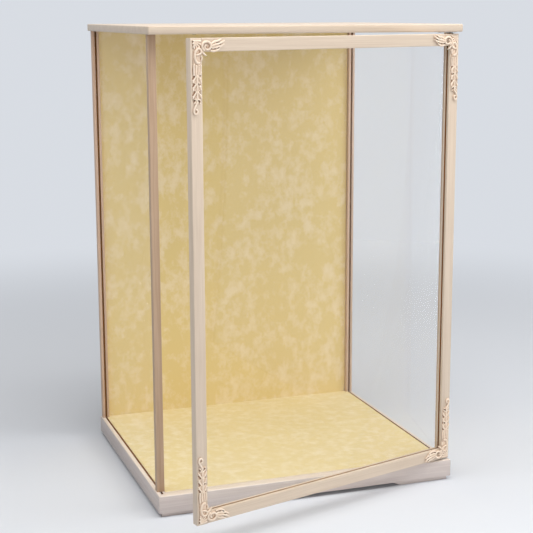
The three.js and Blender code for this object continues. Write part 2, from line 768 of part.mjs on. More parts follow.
const doorPane = block(doorPaneX, [-glassThickness / 2, glassThickness / 2], doorPaneZ);
place(door, 'door_glass', doorPane, glazing(), [doorPaneX[0], 0, doorPaneZ[0]]);

place(door, 'pivot_bush_lower', atLowerEnd(pivotBush()), brass(), [0, 0, doorBottom]);
place(door, 'pivot_bush_upper', atUpperEnd(pivotBush()), brass(), [0, 0, doorTop]);

place(door, 'strike_screw', screwAt(smallScrew(), strikeScrew), steel(), strikeScrew.at);

// The ornament's points and widths are drawn for a length of 104, and this brings them to size
const drawn = ornamentLength / 104;

// A volute that winds inwards from its outer radius
class Volute extends THREE.Curve {
  constructor([u, v], outerRadius, innerRadius, startAngle, turn) {
    super();
    this.centre = [u * drawn, v * drawn];
    this.outerRadius = outerRadius * drawn;
    this.innerRadius = innerRadius * drawn;
    this.startAngle = startAngle;
    this.turn = turn;
  }

  getPoint(t, target = new THREE.Vector3()) {
    const radius = this.outerRadius + (this.innerRadius - this.outerRadius) * t;
    const angle = this.startAngle + this.turn * t;
    return target.set(
      this.centre[0] + radius * Math.cos(angle), this.centre[1] + radius * Math.sin(angle), 0,
    );
  }
}

// A swelling and tapering strand of relief along a curve in the plate's plane
function strand(curve, { start, middle, end, height, steps = 10 }) {
  const positions = [];
  const index = [];
  const width = (t) => start * (1 - t) * (1 - t) + 2 * middle * t * (1 - t) + end * t * t;
  const thickest = Math.max(start, middle, end);
  const point = new THREE.Vector3();
  const tangent = new THREE.Vector3();
  for (let i = 0; i <= steps; i += 1) {
    const t = i / steps;
    curve.getPointAt(t, point);
    curve.getTangentAt(t, tangent);
    const half = width(t) * drawn;
    for (let j = 0; j < strandSides; j += 1) {
      const angle = 2 * Math.PI * j / strandSides;
      const across = half * Math.cos(angle);
      const out = height * Math.sqrt(width(t) / thickest) * Math.sin(angle);
      positions.push(point.x - tangent.y * across, point.y + tangent.x * across, out);
    }
  }
  for (let i = 0; i < steps; i += 1) {
    for (let j = 0; j < strandSides; j += 1) {
      const a = i * strandSides + j;
      const b = i * strandSides + (j + 1) % strandSides;
      index.push(a, b, a + strandSides, b, b + strandSides, a + strandSides);
    }
  }
  for (let j = 1; j < strandSides - 1; j += 1) {
    const last = steps * strandSides;
    index.push(0, j + 1, j, last, last + j, last + j + 1);
  }
  const geometry = new THREE.BufferGeometry();
  geometry.setAttribute('position', new THREE.Float32BufferAttribute(positions, 3));
  geometry.setIndex(index);
  return solid(geometry);
}

function splineStrand(points, widths) {
  const placed = points.map(([u, v]) => new THREE.Vector3(u * drawn, v * drawn, 0));
  const curve = new THREE.CatmullRomCurve3(placed);
  return strand(curve, widths);
}

// Outline of the ornament's plate: the corner, the rail's leaf spray, then down the stile
function ornamentOutline() {
  const edge = ornamentMargin + ornamentBevel;
  const outline = new THREE.Shape();
  const lineTo = (u, v) => outline.lineTo(u * drawn, v * drawn);
  const bendTo = (midU, midV, u, v) => (
    outline.quadraticCurveTo(midU * drawn, midV * drawn, u * drawn, v * drawn)
  );
  outline.moveTo(edge, edge);
  outline.lineTo(20 * drawn, edge);
  bendTo(31, 1.6, 42, 2.2);
  lineTo(51, 4.6);
  bendTo(50, 12.4, 41, 15.4);
  bendTo(36, 18, 29, 17.4);
  lineTo(25.6, 21.6);
  bendTo(20, 20, 17.6, 27);
  bendTo(17.6, 36, 15.4, 42);
  lineTo(16.8, 57.4);
  lineTo(15, 59);
  lineTo(16.6, 66.4);
  lineTo(15, 68);
  lineTo(16.8, 76);
  lineTo(13.8, 78.4);
  bendTo(15, 86, 10.6, 88.4);
  lineTo(8.4, 94.6);
  bendTo(12.4, 94.6, 12, 100);
  bendTo(11.4, 103.4, 7.6, 103.4);
  bendTo(2.8, 103.4, 2.8, 97);
  outline.lineTo(edge, 88 * drawn);
  outline.lineTo(edge, 50 * drawn);
  lineTo(2.6, 44);
  outline.lineTo(edge, 36 * drawn);
  outline.closePath();
  return outline;
}

// Leaf pairs down the stile: height at which a pair leaves the stem and the reach of its tips
const leafPairs = [
  { v: 49, reach: 7.2 }, { v: 58, reach: 6.8 }, { v: 67.5, reach: 7.2 }, { v: 77, reach: 5.2 },
];
const leafRise = 8.4;
const stemU = 8.7;

function ornament() {
  const plate = new THREE.ExtrudeGeometry(ornamentOutline(), {
    depth: ornamentPlate - ornamentBevel,
    bevelThickness: ornamentBevel,
    bevelSize: ornamentBevel,
    bevelSegments: 1,
    curveSegments: 3,
  });
  const parts = [solid(plate)];

  // C-scroll on the rail and the larger one on the stile, with its long tail
  parts.push(strand(new Volute([23.6, 10], 7.2, 2, 0.35 * Math.PI, 2.5 * Math.PI), {
    start: 1.2, middle: 2.2, end: 1.6, height: scrollRelief, steps: 13,
  }));
  parts.push(strand(new Volute([11.2, 21.6], 6.6, 2, 0.9 * Math.PI, 2.2 * Math.PI), {
    start: 1.4, middle: 2, end: 1.5, height: scrollRelief, steps: 12,
  }));
  parts.push(splineStrand([[5, 20], [4.8, 29], [8, 35.4], [12.4, 34.4], [13.4, 31]], {
    start: 1.4, middle: 1.8, end: 1.9, height: stemRelief, steps: 6,
  }));

  // Leaf spray along the rail, shell fan in the corner, leaf tip inside the corner
  const spray = [[[30, 6], [36, 3.8], [42, 2.8]], [[31, 9], [41, 7], [50, 4.8]],
    [[31, 12], [39, 12], [47, 10.4]], [[29, 15], [35, 16], [41, 14.8]]];
  spray.forEach((points) => parts.push(splineStrand(points, {
    start: 1.6, middle: 2.4, end: 0.6, height: leafRelief, steps: 3,
  })));
  const fan = [[15, 4.4], [15.4, 9.6], [9.4, 13.4]];
  fan.forEach((tip) => parts.push(splineStrand([[3.4, 3.4], tip], {
    start: 0.8, middle: 1.8, end: 1.6, height: leafRelief, steps: 2,
  })));
  parts.push(splineStrand([[17, 15], [21, 18.4], [25.4, 21.6]], {
    start: 1.8, middle: 1.6, end: 0.6, height: leafRelief, steps: 2,
  }));

  // Long stem with its leaf pairs, ending in a crook
  parts.push(splineStrand([[8, 35], [10, 47], [stemU, 62], [stemU, 76], [9.4, 87]], {
    start: 3, middle: 2.4, end: 1.4, height: stemRelief, steps: 6,
  }));
  for (const { v, reach } of leafPairs) {
    for (const hand of [-1, 1]) {
      const leaf = [[0, 0], [0.6 * reach, 0.45 * leafRise], [reach, leafRise]];
      parts.push(splineStrand(leaf.map(([out, rise]) => [stemU + hand * out, v + rise]), {
        start: 1.4, middle: 3, end: 0.8, height: leafRelief, steps: 3,
      }));
    }
  }
  const crook = [[9.4, 85], [6.2, 90], [4.2, 95], [4, 99.4], [6.2, 102.2], [9.2, 102.2],
    [10.8, 99.6], [9.8, 96.6], [8, 96.4]];
  parts.push(splineStrand(crook, {
    start: 1.4, middle: 1.5, end: 1.1, height: leafRelief, steps: 11,
  }));

  // Only what lies over the frame and proud of its face is kept
  const space = [0, ornamentLength + cuttingMargin];
  return union(parts).intersect(block(space, space, space));
}

// The same ornament, mirrored into each corner of the door's face
const ornamentGeometry = geometryOf(ornament());
const doorCorners = {
  ornament_top_left: { hand: 1, rise: -1, corner: [doorLeft, doorTop] },
  ornament_top_right: { hand: -1, rise: -1, corner: [doorRight, doorTop] },
  ornament_bottom_left: { hand: 1, rise: 1, corner: [doorLeft, doorBottom] },
  ornament_bottom_right: { hand: -1, rise: 1, corner: [doorRight, doorBottom] },
};
for (const [name, { hand, rise, corner }] of Object.entries(doorCorners)) {
  const geometry = ornamentGeometry.clone();
  geometry.applyMatrix4(new THREE.Matrix4().makeBasis(
    new THREE.Vector3(hand, 0, 0), new THREE.Vector3(0, 0, rise), new THREE.Vector3(0, -1, 0),
  ));
  if (hand * rise < 0) {
    const index = geometry.index.array;
    for (let i = 0; i < index.length; i += 3) {
      [index[i], index[i + 1]] = [index[i + 1], index[i]];
    }
  }
  geometry.computeVertexNormals();
  const mesh = new THREE.Mesh(geometry, ornamentPaint());
  mesh.name = name;
  mesh.position.set(corner[0], doorFront - 2 * seatGap, corner[1]);
  door.add(mesh);
}

export default displayCase;
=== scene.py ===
import json
import math

import bmesh
import bpy
from mathutils import Matrix, Vector


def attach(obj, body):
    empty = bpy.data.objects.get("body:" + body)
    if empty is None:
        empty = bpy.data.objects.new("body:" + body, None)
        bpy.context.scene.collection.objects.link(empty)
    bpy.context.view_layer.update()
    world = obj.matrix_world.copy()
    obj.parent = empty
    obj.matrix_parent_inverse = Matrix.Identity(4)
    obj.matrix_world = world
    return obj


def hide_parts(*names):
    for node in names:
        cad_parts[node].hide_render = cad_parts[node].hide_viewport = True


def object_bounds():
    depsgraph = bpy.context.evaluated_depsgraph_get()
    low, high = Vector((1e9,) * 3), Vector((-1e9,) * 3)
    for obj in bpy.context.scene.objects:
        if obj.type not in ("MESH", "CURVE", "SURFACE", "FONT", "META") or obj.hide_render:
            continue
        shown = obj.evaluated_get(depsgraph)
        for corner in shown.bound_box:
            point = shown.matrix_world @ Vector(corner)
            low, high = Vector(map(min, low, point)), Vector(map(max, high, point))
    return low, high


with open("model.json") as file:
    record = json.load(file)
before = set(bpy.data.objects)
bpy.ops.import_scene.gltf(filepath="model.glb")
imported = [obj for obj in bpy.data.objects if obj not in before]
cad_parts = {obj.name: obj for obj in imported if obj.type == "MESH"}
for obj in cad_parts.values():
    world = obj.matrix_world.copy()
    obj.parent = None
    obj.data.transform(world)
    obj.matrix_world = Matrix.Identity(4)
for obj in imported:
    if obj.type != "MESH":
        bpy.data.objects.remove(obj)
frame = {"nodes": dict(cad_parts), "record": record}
cad_box = [list(corner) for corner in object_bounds()]
scene = bpy.context.scene
nodes = frame["nodes"]
MM = 0.001

# Camera: standing in front and to the left of the case, looking slightly down, with a long lens.
EYE = Vector((-0.70595, -2.03181, 0.73106))
LOOK_RIGHT, LOOK_DOWN, CAMERA_ROLL = (math.radians(a) for a in (19.196, 11.221, -0.207))
IMAGE_WIDTH = 533
FOCAL_PIXELS = 1280.1

camera_data = bpy.data.cameras.new("camera")
camera_data.sensor_width = 36
camera_data.lens = FOCAL_PIXELS / IMAGE_WIDTH * camera_data.sensor_width
camera_data.clip_end = 50
camera = bpy.data.objects.new("camera", camera_data)
camera.matrix_world = (
    Matrix.Translation(EYE)
    @ Matrix.Rotation(-LOOK_RIGHT, 4, "Z")
    @ Matrix.Rotation(math.pi / 2 - LOOK_DOWN, 4, "X")
    @ Matrix.Rotation(CAMERA_ROLL, 4, "Z")
)
scene.collection.objects.link(camera)
scene.camera = camera
scene.view_settings.view_transform = "Standard"

# Studio: a wide pale floor that fades into a pale world, and five soft boxes, two in front of the
# case, one over it and one over each side.
BACKDROP = (0.69, 0.72, 0.77, 1)
GROUND_Z = cad_box[0][2]
GROUND_RADIUS, FADE_FROM, FADE_TO = 14, 0.75, 2.2
AIM = (0, 0, 0.33)
LAMP_WHITE = (1.0, 0.985, 0.965)


def link_maths(tree, operation, first, second):
    """A Math node on two sockets or numbers, and its output."""
    node = tree.nodes.new("ShaderNodeMath")
    node.operation = operation
    for socket, value in zip(node.inputs, (first, second)):
        if isinstance(value, (int, float)):
            socket.default_value = value
        else:
            tree.links.new(value, socket)
    return node.outputs[0]


world = bpy.data.worlds.new("studio")
world.use_nodes = True
scene.world = world
sky = world.node_tree
sky_fill = sky.nodes["Background"]
sky_fill.inputs["Color"].default_value = (0.95, 0.97, 1.0, 1)
sky_fill.inputs["Strength"].default_value = 0.13
sky_seen = sky.nodes.new("ShaderNodeBackground")
sky_seen.inputs["Color"].default_value = BACKDROP
sky_rays = sky.nodes.new("ShaderNodeLightPath")
sky_shown = sky_rays.outputs["Is Camera Ray"]
for kind in ("Is Glossy Ray", "Is Transmission Ray"):
    sky_shown = link_maths(sky, "MAXIMUM", sky_shown, sky_rays.outputs[kind])
sky_mix = sky.nodes.new("ShaderNodeMixShader")
sky.links.new(sky_shown, sky_mix.inputs[0])
sky.links.new(sky_fill.outputs[0], sky_mix.inputs[1])
sky.links.new(sky_seen.outputs[0], sky_mix.inputs[2])
sky.links.new(sky_mix.outputs[0], sky.nodes["World Output"].inputs["Surface"])


def area_lamp(name, place, target, size, watts, colour):
    data = bpy.data.lights.new(name, "AREA")
    data.shape = "RECTANGLE"
    data.size, data.size_y = size
    data.energy = watts
    data.color = colour
    lamp = bpy.data.objects.new(name, data)
    lamp.location = place
    direction = Vector(target) - Vector(place)
    lamp.rotation_euler = direction.to_track_quat("-Z", "Y").to_euler()
    scene.collection.objects.link(lamp)
    return lamp


area_lamp("soft_box_high", (0.2, -1.5, 2.8), AIM, (2.4, 1.3), 33, LAMP_WHITE)
area_lamp("soft_box_low", (0.3, -3.2, 0.9), AIM, (2.6, 1.2), 25.5, LAMP_WHITE)
area_lamp("soft_box_over", (0.0, -0.3, 3.0), AIM, (1.6, 1.6), 30, LAMP_WHITE)
area_lamp("soft_box_right", (1.75, -0.7, 1.75), AIM, (1.5, 1.5), 23, LAMP_WHITE)
area_lamp("soft_box_left", (-1.5, -0.4, 2.3), AIM, (1.6, 1.6), 21, LAMP_WHITE)


def new_material(name):
    """A material with its tree, its shader and its Object coordinates."""
    material = bpy.data.materials.new(name)
    material.use_nodes = True
    tree = material.node_tree
    shader = tree.nodes["Principled BSDF"]
    coordinates = tree.nodes.new("ShaderNodeTexCoord")
    return material, tree, shader, coordinates.outputs["Object"]


floor_paint, tree, shader, place_on_floor = new_material("studio_floor")
shader.inputs["Base Color"].default_value = BACKDROP
shader.inputs["Roughness"].default_value = 0.9
shader.inputs["Specular IOR Level"].default_value = 0.1
distance = tree.nodes.new("ShaderNodeVectorMath")
distance.operation = "LENGTH"
tree.links.new(place_on_floor, distance.inputs[0])
fade = tree.nodes.new("ShaderNodeMapRange")
fade.interpolation_type = "SMOOTHSTEP"
fade.inputs["From Min"].default_value = FADE_FROM
fade.inputs["From Max"].default_value = FADE_TO
tree.links.new(distance.outputs["Value"], fade.inputs["Value"])
floor_rays = tree.nodes.new("ShaderNodeLightPath")
lights_nothing = link_maths(tree, "SUBTRACT", 1, floor_rays.outputs["Is Diffuse Ray"])
faded = link_maths(tree, "MULTIPLY", fade.outputs["Result"], lights_nothing)
far_floor = tree.nodes.new("ShaderNodeEmission")
far_floor.inputs["Color"].default_value = BACKDROP
floor_mix = tree.nodes.new("ShaderNodeMixShader")
tree.links.new(faded, floor_mix.inputs[0])
tree.links.new(shader.outputs[0], floor_mix.inputs[1])
tree.links.new(far_floor.outputs[0], floor_mix.inputs[2])
tree.links.new(floor_mix.outputs[0], tree.nodes["Material Output"].inputs["Surface"])

bm = bmesh.new()
bmesh.ops.create_circle(bm, cap_ends=True, segments=96, radius=GROUND_RADIUS)
bmesh.ops.translate(bm, verts=bm.verts, vec=(0, 0, GROUND_Z))
ground_mesh = bpy.data.meshes.new("ground")
bm.to_mesh(ground_mesh)
bm.free()
ground_mesh.materials.append(floor_paint)
ground = bpy.data.objects.new("ground", ground_mesh)
scene.collection.objects.link(ground)

# Base: four mitred rails of a light hardwood, planed, grooved for the side panes and sprayed with
# a cream paint thin enough that the grain still shows. Their sides take a greyer, bluer cream as
# painted shade and cool bounce light, and their upward faces a whiter cream as painted light from
# above. The grooves keep bare brown wood.
ALONG_X = (0, 0, 0)
ALONG_Y = (0, 0, -math.pi / 2)
ALONG_Z = (0, math.pi / 2, 0)
CREAM_DARK, CREAM = (0.62, 0.50, 0.39), (0.73, 0.61, 0.49)
# Painted shade: the base's greyer, bluer cream. Painted light: the whiter cream of its upward faces.
BASE_SHADE_CREAM_DARK, BASE_SHADE_CREAM = (0.58, 0.495, 0.465), (0.71, 0.63, 0.585)
TOP_LIT_CREAM_DARK, TOP_LIT_CREAM = (0.72, 0.62, 0.54), (0.85, 0.75, 0.66)
BARE_DARK, BARE = (0.16, 0.05, 0.008), (0.42, 0.17, 0.03)
ARRIS_ANGLE = math.radians(50)
CUT_DEPTH = 1.2 * MM
BASE_EASE = 0.3 * MM


def stretched_noise(tree, vector, sizes, detail, roughness=0.5):
    """Noise whose marks have the given sizes in metres along the vector's three axes."""
    stretch = tree.nodes.new("ShaderNodeVectorMath")
    stretch.operation = "DIVIDE"
    stretch.inputs[1].default_value = sizes
    tree.links.new(vector, stretch.inputs[0])
    noise = tree.nodes.new("ShaderNodeTexNoise")
    noise.inputs["Scale"].default_value = 1
    noise.inputs["Detail"].default_value = detail
    noise.inputs["Roughness"].default_value = roughness
    tree.links.new(stretch.outputs[0], noise.inputs["Vector"])
    return noise.outputs["Fac"]


def new_group(name, sockets):
    """A shader node group with named sockets, and its first and last node."""
    group = bpy.data.node_groups.new(name, "ShaderNodeTree")
    for label, way, kind in sockets:
        group.interface.new_socket(name=label, in_out=way, socket_type=kind)
    return group, group.nodes.new("NodeGroupInput"), group.nodes.new("NodeGroupOutput")


def spread(tree, value, low, high):
    """The value's stretch from low to high, spread to 0 to 1."""
    node = tree.nodes.new("ShaderNodeMapRange")
    node.inputs["From Min"].default_value = low
    node.inputs["From Max"].default_value = high
    tree.links.new(value, node.inputs["Value"])
    return node.outputs["Result"]


def blended(tree, factor, first, second):
    """The mix of two colours, each a socket or red, green and blue, by the factor."""
    node = tree.nodes.new("ShaderNodeMix")
    node.data_type = "RGBA"
    for label, colour in (("A", first), ("B", second)):
        if isinstance(colour, tuple):
            node.inputs[label].default_value = (*colour, 1)
        else:
            tree.links.new(colour, node.inputs[label])
    tree.links.new(factor, node.inputs["Factor"])
    return node.outputs["Result"]


def coloured(tree, shader, colour, height, relief):
    """Links a colour and, as a bump of the relief in metres, a height to the shader."""
    bump = tree.nodes.new("ShaderNodeBump")
    bump.inputs["Distance"].default_value = relief
    tree.links.new(height, bump.inputs["Height"])
    tree.links.new(bump.outputs[0], shader.inputs["Normal"])
    tree.links.new(colour, shader.inputs["Base Color"])


wood_grain, grain_in, grain_out = new_group("wood_grain", [
    ("Vector", "INPUT", "NodeSocketVector"),
    ("Tone", "OUTPUT", "NodeSocketFloat"),
    ("Height", "OUTPUT", "NodeSocketFloat"),
])
grain_vector = grain_in.outputs["Vector"]
broad = stretched_noise(wood_grain, grain_vector, (0.30, 0.012, 0.012), 2)
streaks = stretched_noise(wood_grain, grain_vector, (0.09, 0.0014, 0.0014), 4, 0.6)
pores = stretched_noise(wood_grain, grain_vector, (0.012, 0.0004, 0.0004), 2)
tone = link_maths(wood_grain, "ADD", link_maths(wood_grain, "MULTIPLY", broad, 0.4),
                  link_maths(wood_grain, "MULTIPLY", streaks, 0.6))
height = link_maths(wood_grain, "ADD", link_maths(wood_grain, "MULTIPLY", streaks, 0.7),
                    link_maths(wood_grain, "MULTIPLY", pores, 0.3))
wood_grain.links.new(spread(wood_grain, tone, 0.35, 0.65), grain_out.inputs["Tone"])
wood_grain.links.new(height, grain_out.inputs["Height"])


def grained(name, dark, light, turn, roughness, relief):
    """A finish whose grain runs along the axis that the turn brings to X. relief is in metres."""
    material, tree, shader, place = new_material(name)
    mapping = tree.nodes.new("ShaderNodeMapping")
    mapping.inputs["Rotation"].default_value = turn
    tree.links.new(place, mapping.inputs["Vector"])
    grain = tree.nodes.new("ShaderNodeGroup")
    grain.node_tree = wood_grain
    tree.links.new(mapping.outputs[0], grain.inputs["Vector"])
    colour = blended(tree, grain.outputs["Tone"], dark, light)
    coloured(tree, shader, colour, grain.outputs["Height"], relief)
    shader.inputs["Roughness"].default_value = roughness
    shader.inputs["Specular IOR Level"].default_value = 0.35
    return material


def finished_mesh(bm, name, smooth_below=35):
    """The bmesh as an object at the origin, smooth but for edges sharper than the angle."""
    mesh = bpy.data.meshes.new(name)
    bm.to_mesh(mesh)
    bm.free()
    mesh.polygons.foreach_set("use_smooth", [True] * len(mesh.polygons))
    mesh.set_sharp_from_angle(angle=math.radians(smooth_below))
    piece = bpy.data.objects.new(name, mesh)
    scene.collection.objects.link(piece)
    return piece


def worked_piece(node, name, body, finishes, ease, place=Matrix.Identity(4),
                 filled_ends=False, bare=lambda centre, normal: True):
    """The CAD piece with its arrises eased, and bare wood where a cut lies inside its box."""
    bm = bmesh.new()
    bm.from_mesh(nodes[node].data)
    bmesh.ops.remove_doubles(bm, verts=bm.verts, dist=0.001 * MM)
    bmesh.ops.dissolve_limit(bm, angle_limit=math.radians(0.5), verts=bm.verts, edges=bm.edges)
    inward = place.inverted()
    corners = [inward @ vert.co for vert in bm.verts]
    low = Vector(min(corner[i] for corner in corners) for i in range(3))
    high = Vector(max(corner[i] for corner in corners) for i in range(3))
    arrises = [
        edge for edge in bm.edges
        if edge.is_manifold and edge.is_convex and edge.calc_face_angle() > ARRIS_ANGLE
    ]
    if filled_ends:
        arrises = [
            edge for edge in arrises
            if abs((inward @ edge.verts[0].co).x - (inward @ edge.verts[1].co).x) > 0.1 * MM
        ]
    bmesh.ops.bevel(bm, geom=arrises, offset=ease, segments=2, profile=0.5, affect="EDGES",
                    material=-1, clamp_overlap=True)
    if len(finishes) > 1:
        for face in bm.faces:
            centre = inward @ face.calc_center_median()
            normal = inward.to_3x3() @ face.normal
            depth = min(min(centre[i] - low[i], high[i] - centre[i]) for i in range(3))
            face.material_index = 1 if depth > CUT_DEPTH and bare(centre, normal) else 0
    piece = finished_mesh(bm, name)
    for finish in finishes:
        piece.data.materials.append(finish)
    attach(piece, body)
    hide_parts(node)
    return piece


base_shade_paint_x = grained("base_shade_paint_x", BASE_SHADE_CREAM_DARK, BASE_SHADE_CREAM, ALONG_X, 0.42, 0.05 * MM)
base_shade_paint_y = grained("base_shade_paint_y", BASE_SHADE_CREAM_DARK, BASE_SHADE_CREAM, ALONG_Y, 0.42, 0.05 * MM)
top_lit_paint_x = grained("top_lit_paint_x", TOP_LIT_CREAM_DARK, TOP_LIT_CREAM, ALONG_X, 0.42, 0.05 * MM)
top_lit_paint_y = grained("top_lit_paint_y", TOP_LIT_CREAM_DARK, TOP_LIT_CREAM, ALONG_Y, 0.42, 0.05 * MM)
bare_x = grained("bare_wood_x", BARE_DARK, BARE, ALONG_X, 0.8, 0.08 * MM)
bare_y = grained("bare_wood_y", BARE_DARK, BARE, ALONG_Y, 0.8, 0.08 * MM)
PANE_GROOVES_FROM = 0.465 * nodes["base_front_rail"].dimensions.x


def in_pane_groove(centre, normal):
    """True for the grooves near the case's sides, and not for the mitres' faces."""
    return abs(centre.x) > PANE_GROOVES_FROM and abs(abs(normal.x) - abs(normal.y)) > 0.5


def paint_lit_tops(piece, finish):
    """Gives the piece's painted faces that look up a finish of their own, for painted light from above."""
    piece.data.materials.append(finish)
    for face in piece.data.polygons:
        if face.normal.z > 0.6 and face.material_index == 0:
            face.material_index = len(piece.data.materials) - 1


for sides, paint, top_lit_paint, bare_wood in (
    (("front", "rear"), base_shade_paint_x, top_lit_paint_x, bare_x),
    (("left", "right"), base_shade_paint_y, top_lit_paint_y, bare_y),
):
    for side in sides:
        rail = worked_piece(f"base_{side}_rail", f"base_{side}", "case",
                            (paint, bare_wood), BASE_EASE, bare=in_pane_groove)
        paint_lit_tops(rail, top_lit_paint)

# Plinth: three low rails and two front feet, band-sawn to a curve at their inner ends, glued under
# the base and painted with it.
for node, name, finish in (
    ("plinth_rear_rail", "plinth_rear", base_shade_paint_x),
    ("plinth_left_rail", "plinth_left", base_shade_paint_y),
    ("plinth_right_rail", "plinth_right", base_shade_paint_y),
    ("plinth_foot_left", "front_foot_left", base_shade_paint_x),
    ("plinth_foot_right", "front_foot_right", base_shade_paint_x),
):
    worked_piece(node, name, "case", (finish,), BASE_EASE)

# Floor and back: plywood sheets, the floor laid in the base's rebate, its top given the whiter cream
# that paints the light from above on the base, and the back in the rear posts' rebates.
PLY_DARK, PLY = (0.47, 0.31, 0.16), (0.69, 0.50, 0.30)
PLY_EASE = 0.2 * MM
plywood_x = grained("plywood_x", PLY_DARK, PLY, ALONG_X, 0.75, 0.1 * MM)
plywood_z = grained("plywood_z", PLY_DARK, PLY, ALONG_Z, 0.75, 0.1 * MM)
floor_sheet = worked_piece("floor_board", "floor_sheet", "case", (plywood_x,), PLY_EASE)
paint_lit_tops(floor_sheet, top_lit_paint_x)
worked_piece("back_panel", "back_sheet", "case", (plywood_z,), PLY_EASE)

# Linings: a matt suede-finish paper, mottled gold and pinkish cream, pasted over the floor and the
# back.
BACK_OCHRE, BACK_PINK = (0.78, 0.613, 0.278), (0.855, 0.707, 0.455)
FLOOR_OCHRE, FLOOR_PINK = (0.76, 0.635, 0.34), (0.82, 0.715, 0.49)

paper_mottle, mottle_in, mottle_out = new_group("paper_mottle", [
    ("Vector", "INPUT", "NodeSocketVector"),
    ("Mottle", "OUTPUT", "NodeSocketFloat"),
    ("Nap", "OUTPUT", "NodeSocketFloat"),
])
mottle_vector = mottle_in.outputs["Vector"]
clouds = stretched_noise(paper_mottle, mottle_vector, (0.045, 0.045, 0.045), 2)
blotches = stretched_noise(paper_mottle, mottle_vector, (0.017, 0.017, 0.021), 6, 0.64)
nap = stretched_noise(paper_mottle, mottle_vector, (0.0015, 0.0015, 0.0015), 3)
mottled = link_maths(paper_mottle, "ADD", link_maths(paper_mottle, "MULTIPLY", clouds, 0.3),
                     link_maths(paper_mottle, "MULTIPLY", blotches, 0.7))
paper_mottle.links.new(spread(paper_mottle, mottled, 0.47, 0.63), mottle_out.inputs["Mottle"])
paper_mottle.links.new(nap, mottle_out.inputs["Nap"])


def lining(name, ochre, pinkish):
    material, tree, shader, place = new_material(name)
    mottle = tree.nodes.new("ShaderNodeGroup")
    mottle.node_tree = paper_mottle
    tree.links.new(place, mottle.inputs["Vector"])
    colour = blended(tree, mottle.outputs["Mottle"], ochre, pinkish)
    coloured(tree, shader, colour, mottle.outputs["Nap"], 0.03 * MM)
    shader.inputs["Roughness"].default_value = 0.85
    shader.inputs["Specular IOR Level"].default_value = 0.25
    return material


for node, paper in (
    ("floor_lining", lining("floor_paper", FLOOR_OCHRE, FLOOR_PINK)),
    ("back_lining", lining("back_paper", BACK_OCHRE, BACK_PINK)),
):
    nodes[node].data.materials.clear()
    nodes[node].data.materials.append(paper)

# Posts: four square hardwood posts, grooved for the panes and sprayed with a thinner, browner coat,
# darker on the front pair as painted shade and lighter on the rear pair as painted light.
POST_EASE = 0.25 * MM
front_shaded_coat = grained("post_coat_front_shaded", (0.43, 0.285, 0.18), (0.55, 0.39, 0.27), ALONG_Z, 0.5,
                     0.05 * MM)
rear_lit_coat = grained("post_coat_rear_lit", (0.54, 0.36, 0.25), (0.67, 0.48, 0.36), ALONG_Z, 0.5,
                    0.05 * MM)
bare_z = grained("bare_wood_z", BARE_DARK, BARE, ALONG_Z, 0.8, 0.08 * MM)
for end, coat in (("front", front_shaded_coat), ("rear", rear_lit_coat)):
    for side in ("left", "right"):
        worked_piece(f"post_{end}_{side}", f"{end}_post_{side}", "case",
                     (coat, bare_z), POST_EASE)

# Top board: one solid board with rounded arrises, laid over the posts' dowels and painted.
cream_x = grained("cream_paint_x", CREAM_DARK, CREAM, ALONG_X, 0.42, 0.04 * MM)
worked_piece("top_board", "top", "case", (cream_x,), BASE_EASE)

# Door frame: four members, tenoned and glued, with a groove for the pane at half their thickness,
# bare brown in the stiles; in the rails the grooves are a lighter brown, part paint mist and part
# painted light from above. It hangs on pins at its right end and stands ajar.
DOOR_EASE = 0.15 * MM
hinge = frame["record"]["behaviour"]["joints"][0]
door_place = (
    Matrix.Translation(hinge["pos_m"])
    @ Matrix.Rotation(-math.radians(hinge["range_deg"][0]), 4, "Z")
)
ALONG_DOOR = (0, 0, math.radians(hinge["range_deg"][0]))
cream_door = grained("cream_paint_door", CREAM_DARK, CREAM, ALONG_DOOR, 0.42, 0.04 * MM)
cream_z = grained("cream_paint_z", CREAM_DARK, CREAM, ALONG_Z, 0.42, 0.04 * MM)
# Rails' groove wood: lighter, part paint mist and part painted light from above.
mist_and_light = grained("mist_and_light_wood_door", (0.30, 0.17, 0.09), (0.52, 0.34, 0.21), ALONG_DOOR, 0.7,
                 0.08 * MM)
for member in ("stile_free", "stile_hinge"):
    worked_piece(f"door_{member}", f"frame_{member}", "door",
                 (cream_z, bare_z), DOOR_EASE, door_place)
for member in ("rail_top", "rail_bottom"):
    worked_piece(f"door_{member}", f"frame_{member}", "door",
                 (cream_door, mist_and_light), DOOR_EASE, door_place, filled_ends=True,
                 bare=lambda centre, normal: abs(normal.x) < 0.9)

# Corner ornaments: four thin castings in the rococo manner, one mould and its mirror image, glued
# to the door's face. Scrolls, a shell and leaves stand proud of a thin web, painted cream and
# rubbed with brown, which stays in the hollows. Painted shade takes the deepest hollows nearly
# to black and darkens the casting's foot against the door; a painted highlight lightens the crests.
# Heights in millimetres, of the web and of the ridges by kind, and how flat a ridge's section is.
WEB, WEB_MARGIN, CUT_THROUGH = 0.9, 0.5, 0.25
RING, SCROLL, STEM, LEAF, RIB = 3.8, 3.5, 3.0, 2.7, 2.4
FLATTENING = 0.8
VOXEL = 0.3 * MM
RECESS_PASSES = 50
# Painted shade at the casting's foot: below this height the recess measure grows by this share of the
# drop.
FOOT_SHADE_HEIGHT, FOOT_SHADE_SHARE = 1.2 * MM, 0.22
GLUE_LINE = 0.05 * MM


def spiral(centre, start, turn, outer, inner, stretch, steps):
    """Points that wind inwards about a centre, in degrees and millimetres."""
    points = []
    for step in range(steps + 1):
        angle = math.radians(start + turn * step / steps)
        radius = outer + (inner - outer) * (step / steps) ** 2
        points.append((
            centre[0] + stretch * radius * math.cos(angle), centre[1] + radius * math.sin(angle),
        ))
    return points


